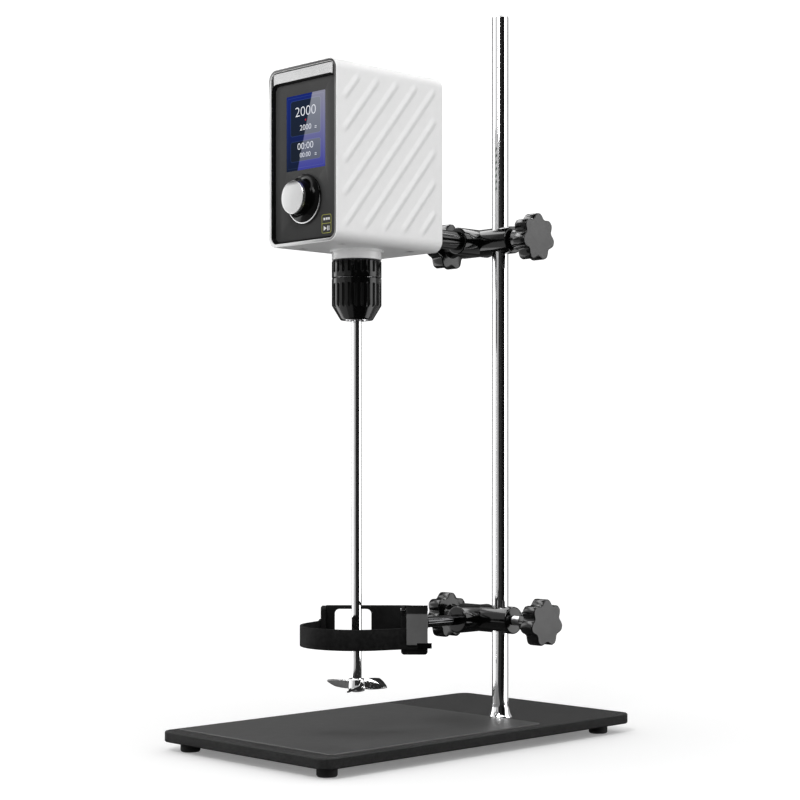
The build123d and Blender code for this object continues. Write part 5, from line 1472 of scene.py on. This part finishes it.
# %% Frames, pin and rivets
PIN_Z = 116.6
PIN_ALONG = 30.2
PIN_R = 1.2
EAR_R = 3.2
EAR_STEPS = 12
STRAP_Z = 93.5
RIVET_SECTION = [(0, 27.0), (1.6, 27.0), (1.6, 33.2), (3.0, 33.2), (2.9, 33.6), (2.3, 34.2),
                 (1.2, 34.4), (0, 34.4)]
pin_place = (*wing_point(1, 0, PIN_ALONG), PIN_Z)
bm = bmesh.new()
for way in (-1, 1):
    centre = (*wing_point(way, 46.5, 0), 97.0)
    cut_out(bm, box_line(21.0, 32.0, 2.5, steps=6), 27.0, 31.0, centre, FRONTAL[way], edge=0.4)
turns = [math.pi * t / EAR_STEPS for t in range(EAR_STEPS + 1)]
ear = [(-EAR_R * math.cos(turn), EAR_R * math.sin(turn)) for turn in turns]
ear += [(0.8, 0.0), (0.8, -5.0), (-0.8, -5.0), (-0.8, 0.0)]
for low, high in ((36.0, 39.0), (54.0, 57.0)):
    cut_out(bm, ear, low, high, pin_place, WING[1], edge=0.25, steps=2)
to_piece("end_frames", bm, "vessel_holder", bracket_black, ["strap_frames"], 32)

bm = bar(PIN_R, 35.7, 57.3, pin_place, WING[1], 32, rounding=0.3)
for out in (44.5, 53.5):
    turned(bm, RIVET_SECTION, (*wing_point(-1, out, 0), STRAP_Z), FRONTAL[-1], 32)
to_piece("pin_and_rivets", bm, "vessel_holder", satin_steel, ["clamp_pins"], 40)

# %% [markdown]
# The strap leaves one frame straight, touches the vessel's circle at a tangent, goes round and
# leaves it in the same way for the other frame. The tangent follows from the frame's distance
# and the circle's radius. A curve with a bevel would make the same band, but its corners at the
# frames would thin out. A line moved sideways with mitred corners keeps the strap's thickness.

# %% Strap
LOOP_R = 43.5
STRAP_THICK = 2.2
STRAP_LOW, STRAP_HIGH = 85.2, 101.8
STRAP_STEPS = 72
STRAP_NEAR, STRAP_FAR = 36.0, 56.0
STRAP_ALONG = 31.0


def beside(line, gap):
    """The same line moved sideways, its corners mitred."""
    moved = []
    steps = [(Vector(end) - Vector(start)).normalized() for start, end in zip(line, line[1:])]
    for i, point in enumerate(line):
        before = steps[max(i - 1, 0)]
        after = steps[min(i, len(steps) - 1)]
        normals = [Vector((-step.y, step.x)) for step in (before, after)]
        middle = (normals[0] + normals[1]).normalized()
        moved.append(tuple(Vector(point) + middle * gap / max(0.4, middle.dot(normals[0]))))
    return moved


corner_far = math.hypot(STRAP_NEAR, STRAP_ALONG)
corner_turn = math.degrees(math.atan2(STRAP_ALONG, STRAP_NEAR))
start = math.radians(45.0 - corner_turn - math.degrees(math.acos(LOOP_R / corner_far)))
sweep = math.pi + 2 * start
path = [wing_point(1, STRAP_FAR, STRAP_ALONG), wing_point(1, STRAP_NEAR, STRAP_ALONG)]
for t in range(STRAP_STEPS + 1):
    turn = start - sweep * t / STRAP_STEPS
    path.append((HEAD_X + LOOP_R * math.cos(turn), SPINDLE_Y + LOOP_R * math.sin(turn)))
path += [wing_point(-1, STRAP_NEAR, STRAP_ALONG), wing_point(-1, STRAP_FAR, STRAP_ALONG)]
other = beside(path, STRAP_THICK)
front = other[STRAP_STEPS // 2 + 2]
if math.hypot(front[0] - HEAD_X, front[1] - SPINDLE_Y) < LOOP_R:
    other = beside(path, -STRAP_THICK)
bm = bmesh.new()
cut_out(bm, path + other[::-1], STRAP_LOW, STRAP_HIGH, (0, 0, 0), edge=0.4, steps=2)
to_piece("strap_band", bm, "vessel_holder", strap_skin, ["strap"], 40)

# %% [markdown]
# The lever is a painted plate with a rolled barrel round the pin and a black lip at its foot to
# pull on. Plate, barrel and lip are flat parts cut in three directions and kept in one piece,
# because they turn together.

# %% Lever
BARREL_STEPS = 16
BLACK_ABOVE = 113.6
LIP_SECTION = [(33.7, 90.5), (35.5, 90.5), (38.5, 86.6), (36.7, 86.6), (33.7, 89.0)]
bm = bmesh.new()
centre = (*wing_point(1, 48.7, 0), 104.4)
cut_out(bm, box_line(16.6, 30.8, 0.8, steps=4), 33.7, 35.5, centre, FRONTAL[1], edge=0.4)
turns = [math.pi * t / BARREL_STEPS + math.pi / 2 for t in range(BARREL_STEPS + 1)]
barrel = [(EAR_R * math.cos(turn), EAR_R * math.sin(turn)) for turn in turns]
barrel += [(4.0, -EAR_R), (4.0, EAR_R)]
cut_out(bm, barrel, 39.3, 53.7, pin_place, WING[1], edge=0.3, steps=2)
painted = set(bm.faces)
cut_out(bm, LIP_SECTION, 48.6, 60.2, (*wing_point(1, 0, 0), 0), WING[1], edge=0.2, steps=2)
for face in bm.faces:
    if face not in painted or face.calc_center_median().z / MM > BLACK_ABOVE:
        face.material_index = 1
to_piece("lever", bm, "buckle_lever", [lever_grey, skirt_black], ["buckle_lever"], 32)

# %% [markdown]
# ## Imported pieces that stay
# Plate, mat, chassis, motor and most screws are right as they were packed. Making them again
# would add work and no detail, so they keep their own mesh and only get a finish.

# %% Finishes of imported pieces
PACKED = (
    (powder, "base_plate"),
    (mat_skin, "worktop_mat"),
    (satin_steel, "foot_screws column_bolt rod_nut head_screws encoder_shaft motor_can bearings"),
    (satin_steel, "spindle chuck_body chuck_nut chuck_jaw_1 chuck_jaw_2 chuck_jaw_3"),
    (cast, "chassis"),
    (shell_white, "rear_cover"),
    (board_green, "display_board control_board"),
    (dark_plastic, "knob_encoder power_inlet knob_plunger"),
    (motor_iron, "motor_stator motor_rotor"),
    (brass, "head_column_pad head_rod_pad vessel_column_pad vessel_rod_pad"),
)
for paint, names in PACKED:
    for name in names.split():
        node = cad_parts[name]
        node.data.materials.clear()
        node.data.materials.append(paint)
print("packed pieces painted", sum(len(names.split()) for paint, names in PACKED))
